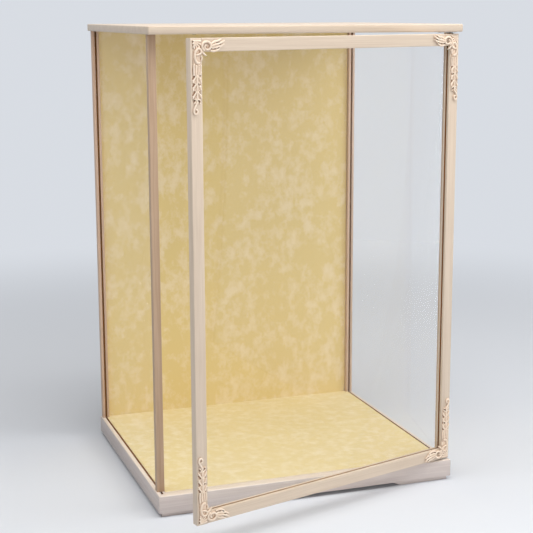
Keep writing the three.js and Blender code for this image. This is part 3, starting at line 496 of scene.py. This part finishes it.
# Ridges of the casting, in millimetres from the door's corner, along the rail and along the stile:
# points, half widths at the first, middle and last point, and height of the crest.
ridges = [
    (spiral((25.0, 11.0), 130, 460, 6.5, 2.2, 1.2, 22), (1.7, 1.8, 1.2), RING),
    ([(8.8, 22.4), (12.4, 21.6), (15.3, 19.6), (15.2, 16.0), (11.6, 14.0), (7.8, 16.4), (6.0, 22.0),
      (6.4, 28.2), (9.0, 32.6), (11.6, 33.1)], (1.3, 1.8, 2.1), SCROLL),
    ([(15.9, 23.6), (16.8, 26.4), (16.4, 29.4)], (0.7, 1.1, 1.0), STEM),
    ([(16.6, 17.2), (20.5, 21.0), (24.2, 23.8)], (1.4, 1.6, 0.4), STEM),
    ([(33.0, 7.6), (38.0, 5.2), (43.5, 4.0), (48.6, 1.8)], (1.3, 2.0, 0.6), STEM),
    ([(33.5, 10.4), (40.5, 8.8), (47.5, 7.0), (53.6, 3.4)], (1.7, 2.4, 0.7), SCROLL),
    ([(34.0, 13.2), (41.0, 12.4), (47.5, 11.2), (53.4, 8.4)], (1.6, 2.2, 0.7), STEM),
    ([(32.0, 17.0), (37.0, 17.6), (42.0, 16.4), (46.8, 13.8)], (1.4, 2.0, 0.6), LEAF),
    ([(4.6, 35.0), (4.0, 42.0), (4.6, 50.0)], (1.0, 1.5, 1.1), RIB),
    ([(8.2, 37.0), (7.7, 44.0), (8.0, 52.0)], (1.4, 1.9, 1.4), LEAF),
    ([(12.0, 36.6), (11.7, 44.0), (11.0, 52.0)], (1.4, 1.9, 1.4), LEAF),
    ([(15.2, 36.0), (15.2, 43.0), (14.4, 50.0)], (0.9, 1.3, 1.0), RIB),
    ([(8.9, 50.0), (9.0, 64.0), (8.9, 78.0), (8.8, 88.0)], (1.4, 1.1, 1.3), STEM),
    ([(9.2, 85.0), (7.0, 89.6), (4.4, 94.0), (3.3, 98.2), (4.6, 101.3), (7.2, 101.6), (8.9, 99.2),
      (8.4, 96.4), (6.9, 95.9)], (1.7, 1.4, 1.2), STEM),
]
for tip in ((15.0, 4.2), (15.6, 8.4), (13.2, 11.6), (9.0, 12.6), (5.2, 13.4)):
    ridges.append(([(3.2, 3.2), ((3.2 + tip[0]) / 2, (3.2 + tip[1]) / 2), tip], (0.6, 1.2, 1.5), RIB))
for start, rise, reach in ((50, 9.0, 6.6), (60.5, 9.6, 6.6), (71.5, 8.8, 6.6), (80.5, 7.0, 4.6)):
    for hand in (-1, 1):
        ridges.append((
            [(9, start), (9 + 0.66 * hand * reach, start + 0.42 * rise), (9 + hand * reach, start + rise)],
            (1.6, 2.7, 0.9), LEAF,
        ))

# Low swellings under the ridges: points, half widths and height.
swellings = [
    ([(5.0, 5.0), (9.5, 8.0), (13.0, 10.0)], (3.0, 5.6, 4.6), 1.5),
    ([(9.6, 17.0), (9.6, 30.0), (9.4, 42.0), (9.4, 50.0)], (6.2, 6.9, 6.9), 1.9),
    ([(9.3, 47.0), (9.3, 62.0), (9.2, 76.0), (9.0, 86.0)], (6.6, 6.7, 4.4), 2.0),
    ([(30.0, 11.0), (39.0, 10.4), (46.0, 7.6)], (5.2, 5.4, 3.2), 1.1),
]

# Slits where the web is cut through: their two ends and their half width.
slits = [
    ((2.3, 5.4), (2.9, 4.4), 1.3), ((2.3, 10.2), (2.9, 9.2), 1.4), ((2.4, 14.8), (3.0, 13.8), 1.4),
    ((6.0, 1.7), (7.0, 1.7), 0.6), ((10.4, 1.7), (11.4, 1.7), 0.6), ((15.0, 1.7), (16.2, 1.7), 0.6),
    ((2.3, 18.0), (2.5, 48.0), 0.8),
    ((2.2, 54.2), (4.4, 51.4), 1.7), ((2.1, 64.2), (4.2, 61.6), 1.7),
    ((2.2, 76.0), (5.4, 71.8), 1.4), ((2.6, 85.4), (4.8, 83.6), 1.6),
    ((14.2, 50.6), (16.4, 52.6), 1.4), ((11.4, 61.4), (12.6, 62.8), 1.3),
    ((14.8, 62.0), (16.4, 63.6), 1.3), ((13.6, 72.2), (16.4, 75.0), 1.5),
    ((11.0, 84.0), (13.0, 85.6), 1.5),
    ((31.8, 14.6), (33.6, 15.0), 0.9), ((37.4, 15.0), (39.6, 14.8), 0.9),
    ((43.4, 14.0), (45.2, 13.0), 0.8), ((46.0, 9.3), (48.6, 8.4), 0.8),
    ((41.0, 6.7), (45.6, 5.7), 0.7), ((46.4, 4.2), (48.6, 3.1), 0.7),
    ((5.9, 98.9), (6.3, 98.1), 0.9),
]


def tube(into, points, half_widths, squash, height_of, ceiling=10):
    """Adds a round-ended, squashed tube through the points, its underside pressed flat on z = 0."""
    first, middle, last = half_widths
    curve = bpy.data.curves.new("ridge", "CURVE")
    curve.dimensions = "3D"
    curve.bevel_depth = 1
    curve.bevel_resolution = 2
    curve.use_fill_caps = True
    curve.resolution_u = 5
    spline = curve.splines.new("BEZIER")
    spline.bezier_points.add(len(points) - 1)
    for index, (u, v) in enumerate(points):
        share = 2 * index / (len(points) - 1)
        radius = first + (middle - first) * share
        if share > 1:
            radius = middle + (last - middle) * (share - 1)
        knot = spline.bezier_points[index]
        knot.co = (u, v, height_of(radius) / squash)
        knot.handle_left_type = knot.handle_right_type = "AUTO"
        knot.radius = radius
    holder = bpy.data.objects.new("ridge", curve)
    before = len(into.verts)
    into.from_mesh(holder.to_mesh())
    holder.to_mesh_clear()
    bpy.data.objects.remove(holder)
    bpy.data.curves.remove(curve)
    for (u, v), radius in ((points[0], first), (points[-1], last)):
        rounding = Matrix.Translation((u, v, height_of(radius) / squash))
        bmesh.ops.create_icosphere(into, subdivisions=2, radius=radius, matrix=rounding)
    into.verts.ensure_lookup_table()
    for vert in into.verts[before:]:
        vert.co.z = min(ceiling, max(0, vert.co.z * squash))


def softened(bm, times):
    """Each vert of the bmesh drawn halfway to its neighbours' middle, that many times."""
    for _ in range(times):
        bmesh.ops.smooth_vert(bm, verts=bm.verts, factor=0.5, use_axis_x=True, use_axis_y=True,
                              use_axis_z=True)
    return bm


def away_from_slit(u, v, start, end):
    along = Vector(end) - Vector(start)
    share = (Vector((u, v)) - Vector(start)).dot(along) / along.length_squared
    nearest = Vector(start) + along * min(1, max(0, share))
    return (Vector((u, v)) - nearest).length


def cast_ornament():
    """The casting with its back on z = 0, its corner at the origin, and a recess attribute that also
    carries painted shade at its foot.
    """
    relief = bmesh.new()
    for points, half_widths, top in ridges:
        tube(relief, points, half_widths, FLATTENING, lambda radius: top - FLATTENING * radius)
        tube(relief, points, [half + WEB_MARGIN for half in half_widths], FLATTENING,
             lambda radius: WEB / 2, WEB)
    for points, half_widths, top in swellings:
        tube(relief, points, half_widths, top / max(half_widths), lambda radius: 0)
    bmesh.ops.scale(relief, verts=relief.verts, vec=(MM, MM, MM))
    rough = bpy.data.meshes.new("rough_casting")
    relief.to_mesh(rough)
    relief.free()
    model = bpy.data.objects.new("rough_casting", rough)
    scene.collection.objects.link(model)
    fuse = model.modifiers.new("fuse", "REMESH")
    fuse.mode = "VOXEL"
    fuse.voxel_size = VOXEL
    cast = bmesh.new()
    cast.from_object(model, bpy.context.evaluated_depsgraph_get())
    bpy.data.objects.remove(model)
    bpy.data.meshes.remove(rough)
    softened(cast, 2)
    floor = CUT_THROUGH * MM
    for start, end, half in slits:
        for vert in cast.verts:
            away = away_from_slit(vert.co.x / MM, vert.co.y / MM, start, end) / half
            if away < 1 and vert.co.z > floor:
                vert.co.z -= (vert.co.z - floor) * (1 - away ** 4)
    softened(cast, 1)
    for vert in cast.verts:
        vert.co.z = max(0, vert.co.z)
    smooth = softened(cast.copy(), RECESS_PASSES)
    # Recess depth, plus painted shade that grows towards the door's face at the casting's foot.
    recess = [
        soft.co.z - vert.co.z + FOOT_SHADE_SHARE * max(0, FOOT_SHADE_HEIGHT - vert.co.z)
        for soft, vert in zip(smooth.verts, cast.verts)
    ]
    smooth.free()
    mesh = bpy.data.meshes.new("casting")
    cast.to_mesh(mesh)
    cast.free()
    mesh.attributes.new("recess", "FLOAT", "POINT").data.foreach_set("value", recess)
    return mesh


# Cream rubbed with brown in the hollows; painted shade takes the deepest hollows nearly to black, and a
# painted highlight lightens the crests.
shaded_antique_finish, tree, shader, place = new_material("shaded_antique_cream")
hollow = tree.nodes.new("ShaderNodeAttribute")
hollow.attribute_name = "recess"
uneven = stretched_noise(tree, place, (0.0022, 0.0022, 0.0022), 4, 0.6)
rubbing = link_maths(tree, "MULTIPLY", link_maths(tree, "SUBTRACT", uneven, 0.5), 0.4 * MM)
lowness = link_maths(tree, "ADD", hollow.outputs["Fac"], rubbing)
darkening = spread(tree, lowness, 0.02 * MM, 0.34 * MM)
# Painted highlight on the crests.
highness = link_maths(tree, "SUBTRACT", rubbing, hollow.outputs["Fac"])
crest = spread(tree, highness, 0.05 * MM, 0.35 * MM)
# Painted shade in the deepest hollows.
deepest = spread(tree, hollow.outputs["Fac"], 0.45 * MM, 0.85 * MM)
lit_colour = blended(tree, crest, (0.79, 0.62, 0.475), (0.90, 0.78, 0.65))
hollow_brown_shade = blended(tree, deepest, (0.36, 0.20, 0.11), (0.09, 0.055, 0.03))
rubbed_shaded_colour = blended(tree, darkening, lit_colour, hollow_brown_shade)
tree.links.new(rubbed_shaded_colour, shader.inputs["Base Color"])
shader.inputs["Roughness"].default_value = 0.5

DOOR_CORNERS = {
    "ornament_top_left": ("door_stile_free", -1, 1),
    "ornament_top_right": ("door_stile_hinge", 1, 1),
    "ornament_bottom_left": ("door_stile_free", -1, -1),
    "ornament_bottom_right": ("door_stile_hinge", 1, -1),
}
casting = cast_ornament()
inward = door_place.inverted()
for node, (stile, right, up) in DOOR_CORNERS.items():
    corners = [inward @ vert.co for vert in nodes[stile].data.vertices]
    x = max(right * corner.x for corner in corners) * right
    z = max(up * corner.z for corner in corners) * up
    front = min(corner.y for corner in corners)
    axes = Matrix((
        (-right, 0, 0, x),
        (0, 0, -1, front - GLUE_LINE),
        (0, -up, 0, z),
        (0, 0, 0, 1),
    ))
    bm = bmesh.new()
    bm.from_mesh(casting)
    bmesh.ops.transform(bm, matrix=door_place @ axes, verts=bm.verts)
    bmesh.ops.recalc_face_normals(bm, faces=bm.faces)
    piece = finished_mesh(bm, node.replace("ornament", "casting"), 180)
    piece.data.materials.append(shaded_antique_finish)
    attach(piece, "door")
    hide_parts(node)
bpy.data.meshes.remove(casting)

# Panes: clear 3 mm float glass in the sides and the door. Seen so clean that it hardly shows.
glass, tree, shader, _ = new_material("clear_glass")
shader.inputs["Base Color"].default_value = (0.93, 0.97, 0.95, 1)
shader.inputs["Roughness"].default_value = 0.0
shader.inputs["IOR"].default_value = 1.45
shader.inputs["Transmission Weight"].default_value = 1
shader.inputs["Alpha"].default_value = 0.05
glass_rays = tree.nodes.new("ShaderNodeLightPath")
glass_clear = tree.nodes.new("ShaderNodeBsdfTransparent")
glass_mix = tree.nodes.new("ShaderNodeMixShader")
tree.links.new(glass_rays.outputs["Is Shadow Ray"], glass_mix.inputs[0])
tree.links.new(shader.outputs[0], glass_mix.inputs[1])
tree.links.new(glass_clear.outputs[0], glass_mix.inputs[2])
tree.links.new(glass_mix.outputs[0], tree.nodes["Material Output"].inputs["Surface"])
for node in ("side_glass_left", "side_glass_right", "door_glass"):
    nodes[node].data.materials.clear()
    nodes[node].data.materials.append(glass)

# Screws up into the posts' feet: four zinc-plated pan-head wood screws with a cross recess, sunk in
# counterbores under the base.
PAN_HEAD = (
    (0, 0), (1.5, -0.06), (2.6, -0.42), (3.2, -1.1), (3.4, -1.8), (3.4, -2.45), (3.25, -2.6),
    (1.5, -2.6), (1.5, -13.0), (1.2, -14.0), (1.2, -43.0), (0, -47.6),
)
HEAD_UP, HEAD_DOWN, HEAD_BACK = (0, 0, 1), (0, 0, -1), (0, 1, 0)
MERGE_WITHIN = 0.0001 * MM


def turned(profile, sides=32):
    """A closed bmesh turned about Z from radii and heights in millimetres."""
    bm = bmesh.new()
    verts = [bm.verts.new((radius * MM, 0, height * MM)) for radius, height in profile]
    edges = [bm.edges.new(ends) for ends in zip(verts, verts[1:])]
    if profile[0][0] > 0:
        edges.append(bm.edges.new((verts[-1], verts[0])))
    bmesh.ops.spin(bm, geom=verts + edges, axis=(0, 0, 1), cent=(0, 0, 0), dvec=(0, 0, 0),
                   angle=2 * math.pi, steps=sides, use_merge=True)
    bmesh.ops.remove_doubles(bm, verts=bm.verts, dist=MERGE_WITHIN)
    bmesh.ops.recalc_face_normals(bm, faces=bm.faces)
    return bm


def combined(bm, other, operation):
    """The first closed bmesh with the second one joined to it or cut from it."""
    holders = []
    for source in (bm, other):
        mesh = bpy.data.meshes.new("bench")
        source.to_mesh(mesh)
        source.free()
        holder = bpy.data.objects.new("bench", mesh)
        scene.collection.objects.link(holder)
        holders.append(holder)
    tool = holders[0].modifiers.new("tool", "BOOLEAN")
    tool.object = holders[1]
    tool.operation = operation
    tool.solver = "EXACT"
    worked = bmesh.new()
    worked.from_object(holders[0], bpy.context.evaluated_depsgraph_get())
    for holder in holders:
        mesh = holder.data
        bpy.data.objects.remove(holder)
        bpy.data.meshes.remove(mesh)
    bmesh.ops.remove_doubles(worked, verts=worked.verts, dist=MERGE_WITHIN)
    bmesh.ops.recalc_face_normals(worked, faces=worked.faces)
    return worked


def cross_recess(bm, reach, width, depth):
    """The bmesh with a tapering cross pressed into the head, whose top is at height 0."""
    quarter = [(reach, -width), (reach, width), (width, width)]
    outline = []
    for turn in range(4):
        angle = math.radians(90 * turn)
        for x, y in quarter:
            outline.append((x * math.cos(angle) - y * math.sin(angle),
                            x * math.sin(angle) + y * math.cos(angle)))
    punch = bmesh.new()
    rim = punch.faces.new([punch.verts.new((x * MM, y * MM, 0.5 * MM)) for x, y in outline])
    nose = bmesh.ops.extrude_face_region(punch, geom=[rim])["geom"]
    nose_verts = [item for item in nose if isinstance(item, bmesh.types.BMVert)]
    bmesh.ops.translate(punch, verts=nose_verts, vec=(0, 0, -(depth + 0.5) * MM))
    bmesh.ops.scale(punch, verts=nose_verts, vec=(0.5, 0.5, 1))
    bmesh.ops.recalc_face_normals(punch, faces=punch.faces)
    return combined(bm, punch, "DIFFERENCE")


def add_thread(bm, root, crest, pitch, top, tip):
    """Winds a right-hand ridge on the shank, from near its tip up to the top height."""
    steps = 20
    first, flank, sunk = tip + pitch, 0.42 * pitch, root - 0.15
    section = [
        bm.verts.new((radius * MM, 0, height * MM))
        for radius, height in ((sunk, first - flank), (crest, first), (sunk, first + flank))
    ]
    before = len(bm.verts) - len(section)
    start = bm.faces.new(section)
    turns = (top - first) / pitch
    bmesh.ops.spin(bm, geom=[start], axis=(0, 0, 1), cent=(0, 0, 0),
                   dvec=(0, 0, pitch * MM / steps), angle=2 * math.pi * turns,
                   steps=round(turns * steps))
    bm.verts.ensure_lookup_table()
    for vert in bm.verts[before:]:
        share = min(1, max(0.25, (vert.co.z / MM - tip) / (3 * crest)))
        vert.co.x *= share
        vert.co.y *= share
    bmesh.ops.recalc_face_normals(bm, faces=bm.faces)


def kept(bm, name):
    """The bmesh as a mesh to be set in more than once."""
    mesh = bpy.data.meshes.new(name)
    bm.to_mesh(mesh)
    bm.free()
    return mesh


def set_in(pattern, node, name, head, body, finish):
    """A copy of the pattern, whose head's top is its origin, set where the CAD piece is."""
    corners = [vert.co for vert in nodes[node].data.vertices]
    low = Vector(min(corner[i] for corner in corners) for i in range(3))
    high = Vector(max(corner[i] for corner in corners) for i in range(3))
    head = Vector(head)
    seat = (low + high) / 2 + head * abs((high - low).dot(head)) / 2
    turn = Vector((0, 0, 1)).rotation_difference(head).to_matrix().to_4x4()
    bm = bmesh.new()
    bm.from_mesh(pattern)
    bmesh.ops.transform(bm, matrix=Matrix.Translation(seat) @ turn, verts=bm.verts)
    piece = finished_mesh(bm, name, 40)
    piece.data.materials.append(finish)
    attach(piece, body)
    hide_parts(node)
    return piece


def metal(name, bright, dull, polished, matt):
    """A metal clouded in its colour and its sheen, with fine scratches."""
    material, tree, shader, place = new_material(name)
    clouding = spread(tree, stretched_noise(tree, place, (0.004, 0.004, 0.004), 4), 0.35, 0.65)
    sheen = tree.nodes.new("ShaderNodeMapRange")
    sheen.inputs["To Min"].default_value = polished
    sheen.inputs["To Max"].default_value = matt
    tree.links.new(clouding, sheen.inputs["Value"])
    tree.links.new(sheen.outputs["Result"], shader.inputs["Roughness"])
    scratches = stretched_noise(tree, place, (0.003, 0.0002, 0.0002), 3)
    coloured(tree, shader, blended(tree, clouding, bright, dull), scratches, 0.01 * MM)
    shader.inputs["Metallic"].default_value = 1
    return material


zinc = metal("zinc_plate", (0.66, 0.68, 0.70), (0.46, 0.48, 0.50), 0.24, 0.42)
post_screw_form = cross_recess(turned(PAN_HEAD), 1.7, 0.42, 1.3)
add_thread(post_screw_form, 1.2, 1.75, 1.9, -14, -47.6)
post_screw = kept(post_screw_form, "post_screw")
for corner in ("front_left", "front_right", "rear_left", "rear_right"):
    set_in(post_screw, f"post_screw_{corner}", f"wood_screw_{corner}", HEAD_DOWN, "case", zinc)

# Dowels between the posts and the top board: fluted beech pegs with bevelled ends, glued in.
DOWEL_RADIUS, DOWEL_BEVEL, FLUTE_SHARE = 2.0, 0.5, 0.92
beech = grained("beech", (0.50, 0.32, 0.16), (0.70, 0.50, 0.30), ALONG_Z, 0.7, 0.08 * MM)
peg = bmesh.new()
bmesh.ops.create_circle(peg, cap_ends=True, segments=48, radius=DOWEL_RADIUS * MM)
peg.verts.ensure_lookup_table()
bmesh.ops.scale(peg, verts=list(peg.verts)[::4], vec=(FLUTE_SHARE, FLUTE_SHARE, 1))
ends = nodes["post_dowel_front_left"].data.vertices
peg_length = max(vert.co.z for vert in ends) - min(vert.co.z for vert in ends)
bevel_share = 1 - DOWEL_BEVEL / DOWEL_RADIUS
bmesh.ops.scale(peg, verts=peg.verts, vec=(bevel_share, bevel_share, 1))
peg_end = peg.faces[:]
for drop, share in (
    (DOWEL_BEVEL * MM, 1 / bevel_share), (peg_length - 2 * DOWEL_BEVEL * MM, 1),
    (DOWEL_BEVEL * MM, bevel_share),
):
    brim = [edge for face in peg_end for edge in face.edges]
    grown = bmesh.ops.extrude_face_region(peg, geom=peg_end + brim)["geom"]
    peg_end = [item for item in grown if isinstance(item, bmesh.types.BMFace)]
    rim = [item for item in grown if isinstance(item, bmesh.types.BMVert)]
    bmesh.ops.translate(peg, verts=rim, vec=(0, 0, -drop))
    bmesh.ops.scale(peg, verts=rim, vec=(share, share, 1))
bmesh.ops.recalc_face_normals(peg, faces=peg.faces)
dowel = kept(peg, "dowel")
for corner in ("front_left", "front_right", "rear_left", "rear_right"):
    set_in(dowel, f"post_dowel_{corner}", f"dowel_{corner}", HEAD_UP, "case", beech)

# Back pins: six small bright nails with domed heads, driven from behind through the back into the
# rear posts' rebates, three up each side.
PANEL_PIN = (
    (0, 0), (0.6, -0.04), (1.15, -0.16), (1.45, -0.32), (1.5, -0.42), (1.42, -0.5), (0.62, -0.5),
    (0.56, -0.8), (0.64, -1.0), (0.56, -1.2), (0.64, -1.4), (0.56, -1.6), (0.6, -1.8), (0.6, -6.3),
    (0, -7.5),
)
panel_pin = kept(turned(PANEL_PIN, 24), "panel_pin")
for side in ("left", "right"):
    for height in (1, 2, 3):
        set_in(panel_pin, f"back_pin_{side}_{height}", f"panel_pin_{side}_{height}", HEAD_BACK, "case",
               zinc)

# Pivots: a zinc-plated plate let flat on the base and one under the top board, each with a riveted
# steel pin for the door's hinge stile and two countersunk screws.
PLATE_REACH, PLATE_WIDTH, PLATE_THICKNESS = 26.0, 9.0, 1.0
PLATE_CORNER, PLATE_EASE = 3.0, 0.12
PIN = ((0, -0.6), (2.0, -0.6), (2.0, 9.3), (1.85, 9.75), (1.5, 10.0), (0, 10.0))
SINK = ((0, 0.5), (2.42, 0.5), (2.42, -0.02), (1.4, -0.84), (1.4, -1.5), (0, -1.5))
SINKS_AT = (-22.0, -13.0)

plate = bmesh.new()
bmesh.ops.create_cube(plate, size=1)
bmesh.ops.scale(plate, verts=plate.verts, vec=(
    (PLATE_REACH + PLATE_WIDTH / 2) * MM, PLATE_WIDTH * MM, PLATE_THICKNESS * MM,
))
bmesh.ops.translate(plate, verts=plate.verts, vec=(
    (PLATE_WIDTH / 2 - PLATE_REACH) / 2 * MM, 0, -PLATE_THICKNESS / 2 * MM,
))
uprights = [edge for edge in plate.edges if abs(edge.verts[0].co.z - edge.verts[1].co.z) > 0.5 * MM]
bmesh.ops.bevel(plate, geom=uprights, offset=PLATE_CORNER * MM, segments=8, profile=0.5,
                affect="EDGES", material=-1)
brims = [edge for edge in plate.edges if edge.calc_face_angle() > ARRIS_ANGLE]
bmesh.ops.bevel(plate, geom=brims, offset=PLATE_EASE * MM, segments=2, profile=0.5, affect="EDGES",
                material=-1)
for along in SINKS_AT:
    sink = turned(SINK)
    bmesh.ops.translate(sink, verts=sink.verts, vec=(along * MM, 0, 0))
    plate = combined(plate, sink, "DIFFERENCE")
pivot_plate = combined(plate, turned(PIN, 48), "UNION")
for node, turn in (("pivot_plate_lower", 0), ("pivot_plate_upper", math.pi)):
    heights = [vert.co.z for vert in nodes[node].data.vertices]
    top = min(heights) + PLATE_THICKNESS * MM if turn == 0 else max(heights) - PLATE_THICKNESS * MM
    bm = pivot_plate.copy()
    seat = Matrix.Translation((hinge["pos_m"][0], hinge["pos_m"][1], top))
    bmesh.ops.transform(bm, matrix=seat @ Matrix.Rotation(turn, 4, "X"), verts=bm.verts)
    piece = finished_mesh(bm, node.replace("plate", "bracket"), 40)
    piece.data.materials.append(zinc)
    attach(piece, "case")
    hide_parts(node)
pivot_plate.free()

# Countersunk screws: two in each pivot plate, and one in the door's top edge that the catch's
# magnet draws.
COUNTERSUNK = (
    (0, 0), (2.08, 0), (2.2, -0.08), (1.2, -0.8), (0.85, -1.2), (0.85, -7.4), (0, -9.0),
)
small_form = cross_recess(turned(COUNTERSUNK), 1.1, 0.26, 0.6)
add_thread(small_form, 0.85, 1.2, 1.0, -1.6, -9)
small_screw = kept(small_form, "small_screw")
for number in (1, 2):
    set_in(small_screw, f"pivot_screw_lower_{number}", f"plate_screw_lower_{number}", HEAD_UP, "case",
           zinc)
    set_in(small_screw, f"pivot_screw_upper_{number}", f"plate_screw_upper_{number}", HEAD_DOWN, "case",
           zinc)
set_in(small_screw, "strike_screw", "catch_screw", HEAD_UP, "door", zinc)

# Washer under the door: a turned nylon ring that carries its weight on the lower pin.
nylon, tree, shader, place = new_material("white_nylon")
waxy = stretched_noise(tree, place, (0.002, 0.002, 0.002), 3)
nylon_colour = blended(tree, waxy, (0.80, 0.77, 0.70), (0.86, 0.84, 0.79))
coloured(tree, shader, nylon_colour, waxy, 0.01 * MM)
shader.inputs["Roughness"].default_value = 0.38
washer = kept(turned((
    (2.1, -0.1), (2.2, 0), (4.35, 0), (4.5, -0.15), (4.5, -0.55), (4.35, -0.7), (2.2, -0.7),
    (2.1, -0.6),
), 48), "washer")
set_in(washer, "pivot_washer", "pin_washer", HEAD_UP, "case", nylon)

# Bushes in the ends of the hinge stile: turned brass with a thin flange, pressed in.
BUSH = (
    (2.1, -0.15), (2.25, 0), (4.25, 0), (4.4, -0.12), (4.4, -0.88), (4.28, -1.0), (3.3, -1.0),
    (3.3, -11.7), (3.0, -12.0), (2.25, -12.0), (2.1, -11.85),
)
brass = metal("turned_brass", (0.72, 0.53, 0.24), (0.52, 0.36, 0.15), 0.2, 0.38)
bush = kept(turned(BUSH, 48), "bush")
set_in(bush, "pivot_bush_lower", "stile_bush_lower", HEAD_DOWN, "door", brass)
set_in(bush, "pivot_bush_upper", "stile_bush_upper", HEAD_UP, "door", brass)

# Magnet: a sintered ferrite rod pressed in the top board, standing just proud over the screw in the
# closed door's top edge.
ferrite, tree, shader, place = new_material("dark_ferrite")
gritty = stretched_noise(tree, place, (0.0004, 0.0004, 0.0004), 4, 0.7)
grit = spread(tree, gritty, 0.35, 0.7)
ferrite_colour = blended(tree, grit, (0.02, 0.018, 0.018), (0.075, 0.07, 0.07))
coloured(tree, shader, ferrite_colour, gritty, 0.03 * MM)
shader.inputs["Roughness"].default_value = 0.55
magnet = kept(turned((
    (0, 0), (2.75, 0), (3.0, -0.25), (3.0, -7.75), (2.75, -8.0), (0, -8.0),
), 48), "magnet")
set_in(magnet, "catch_magnet", "magnet_rod", HEAD_DOWN, "case", ferrite)
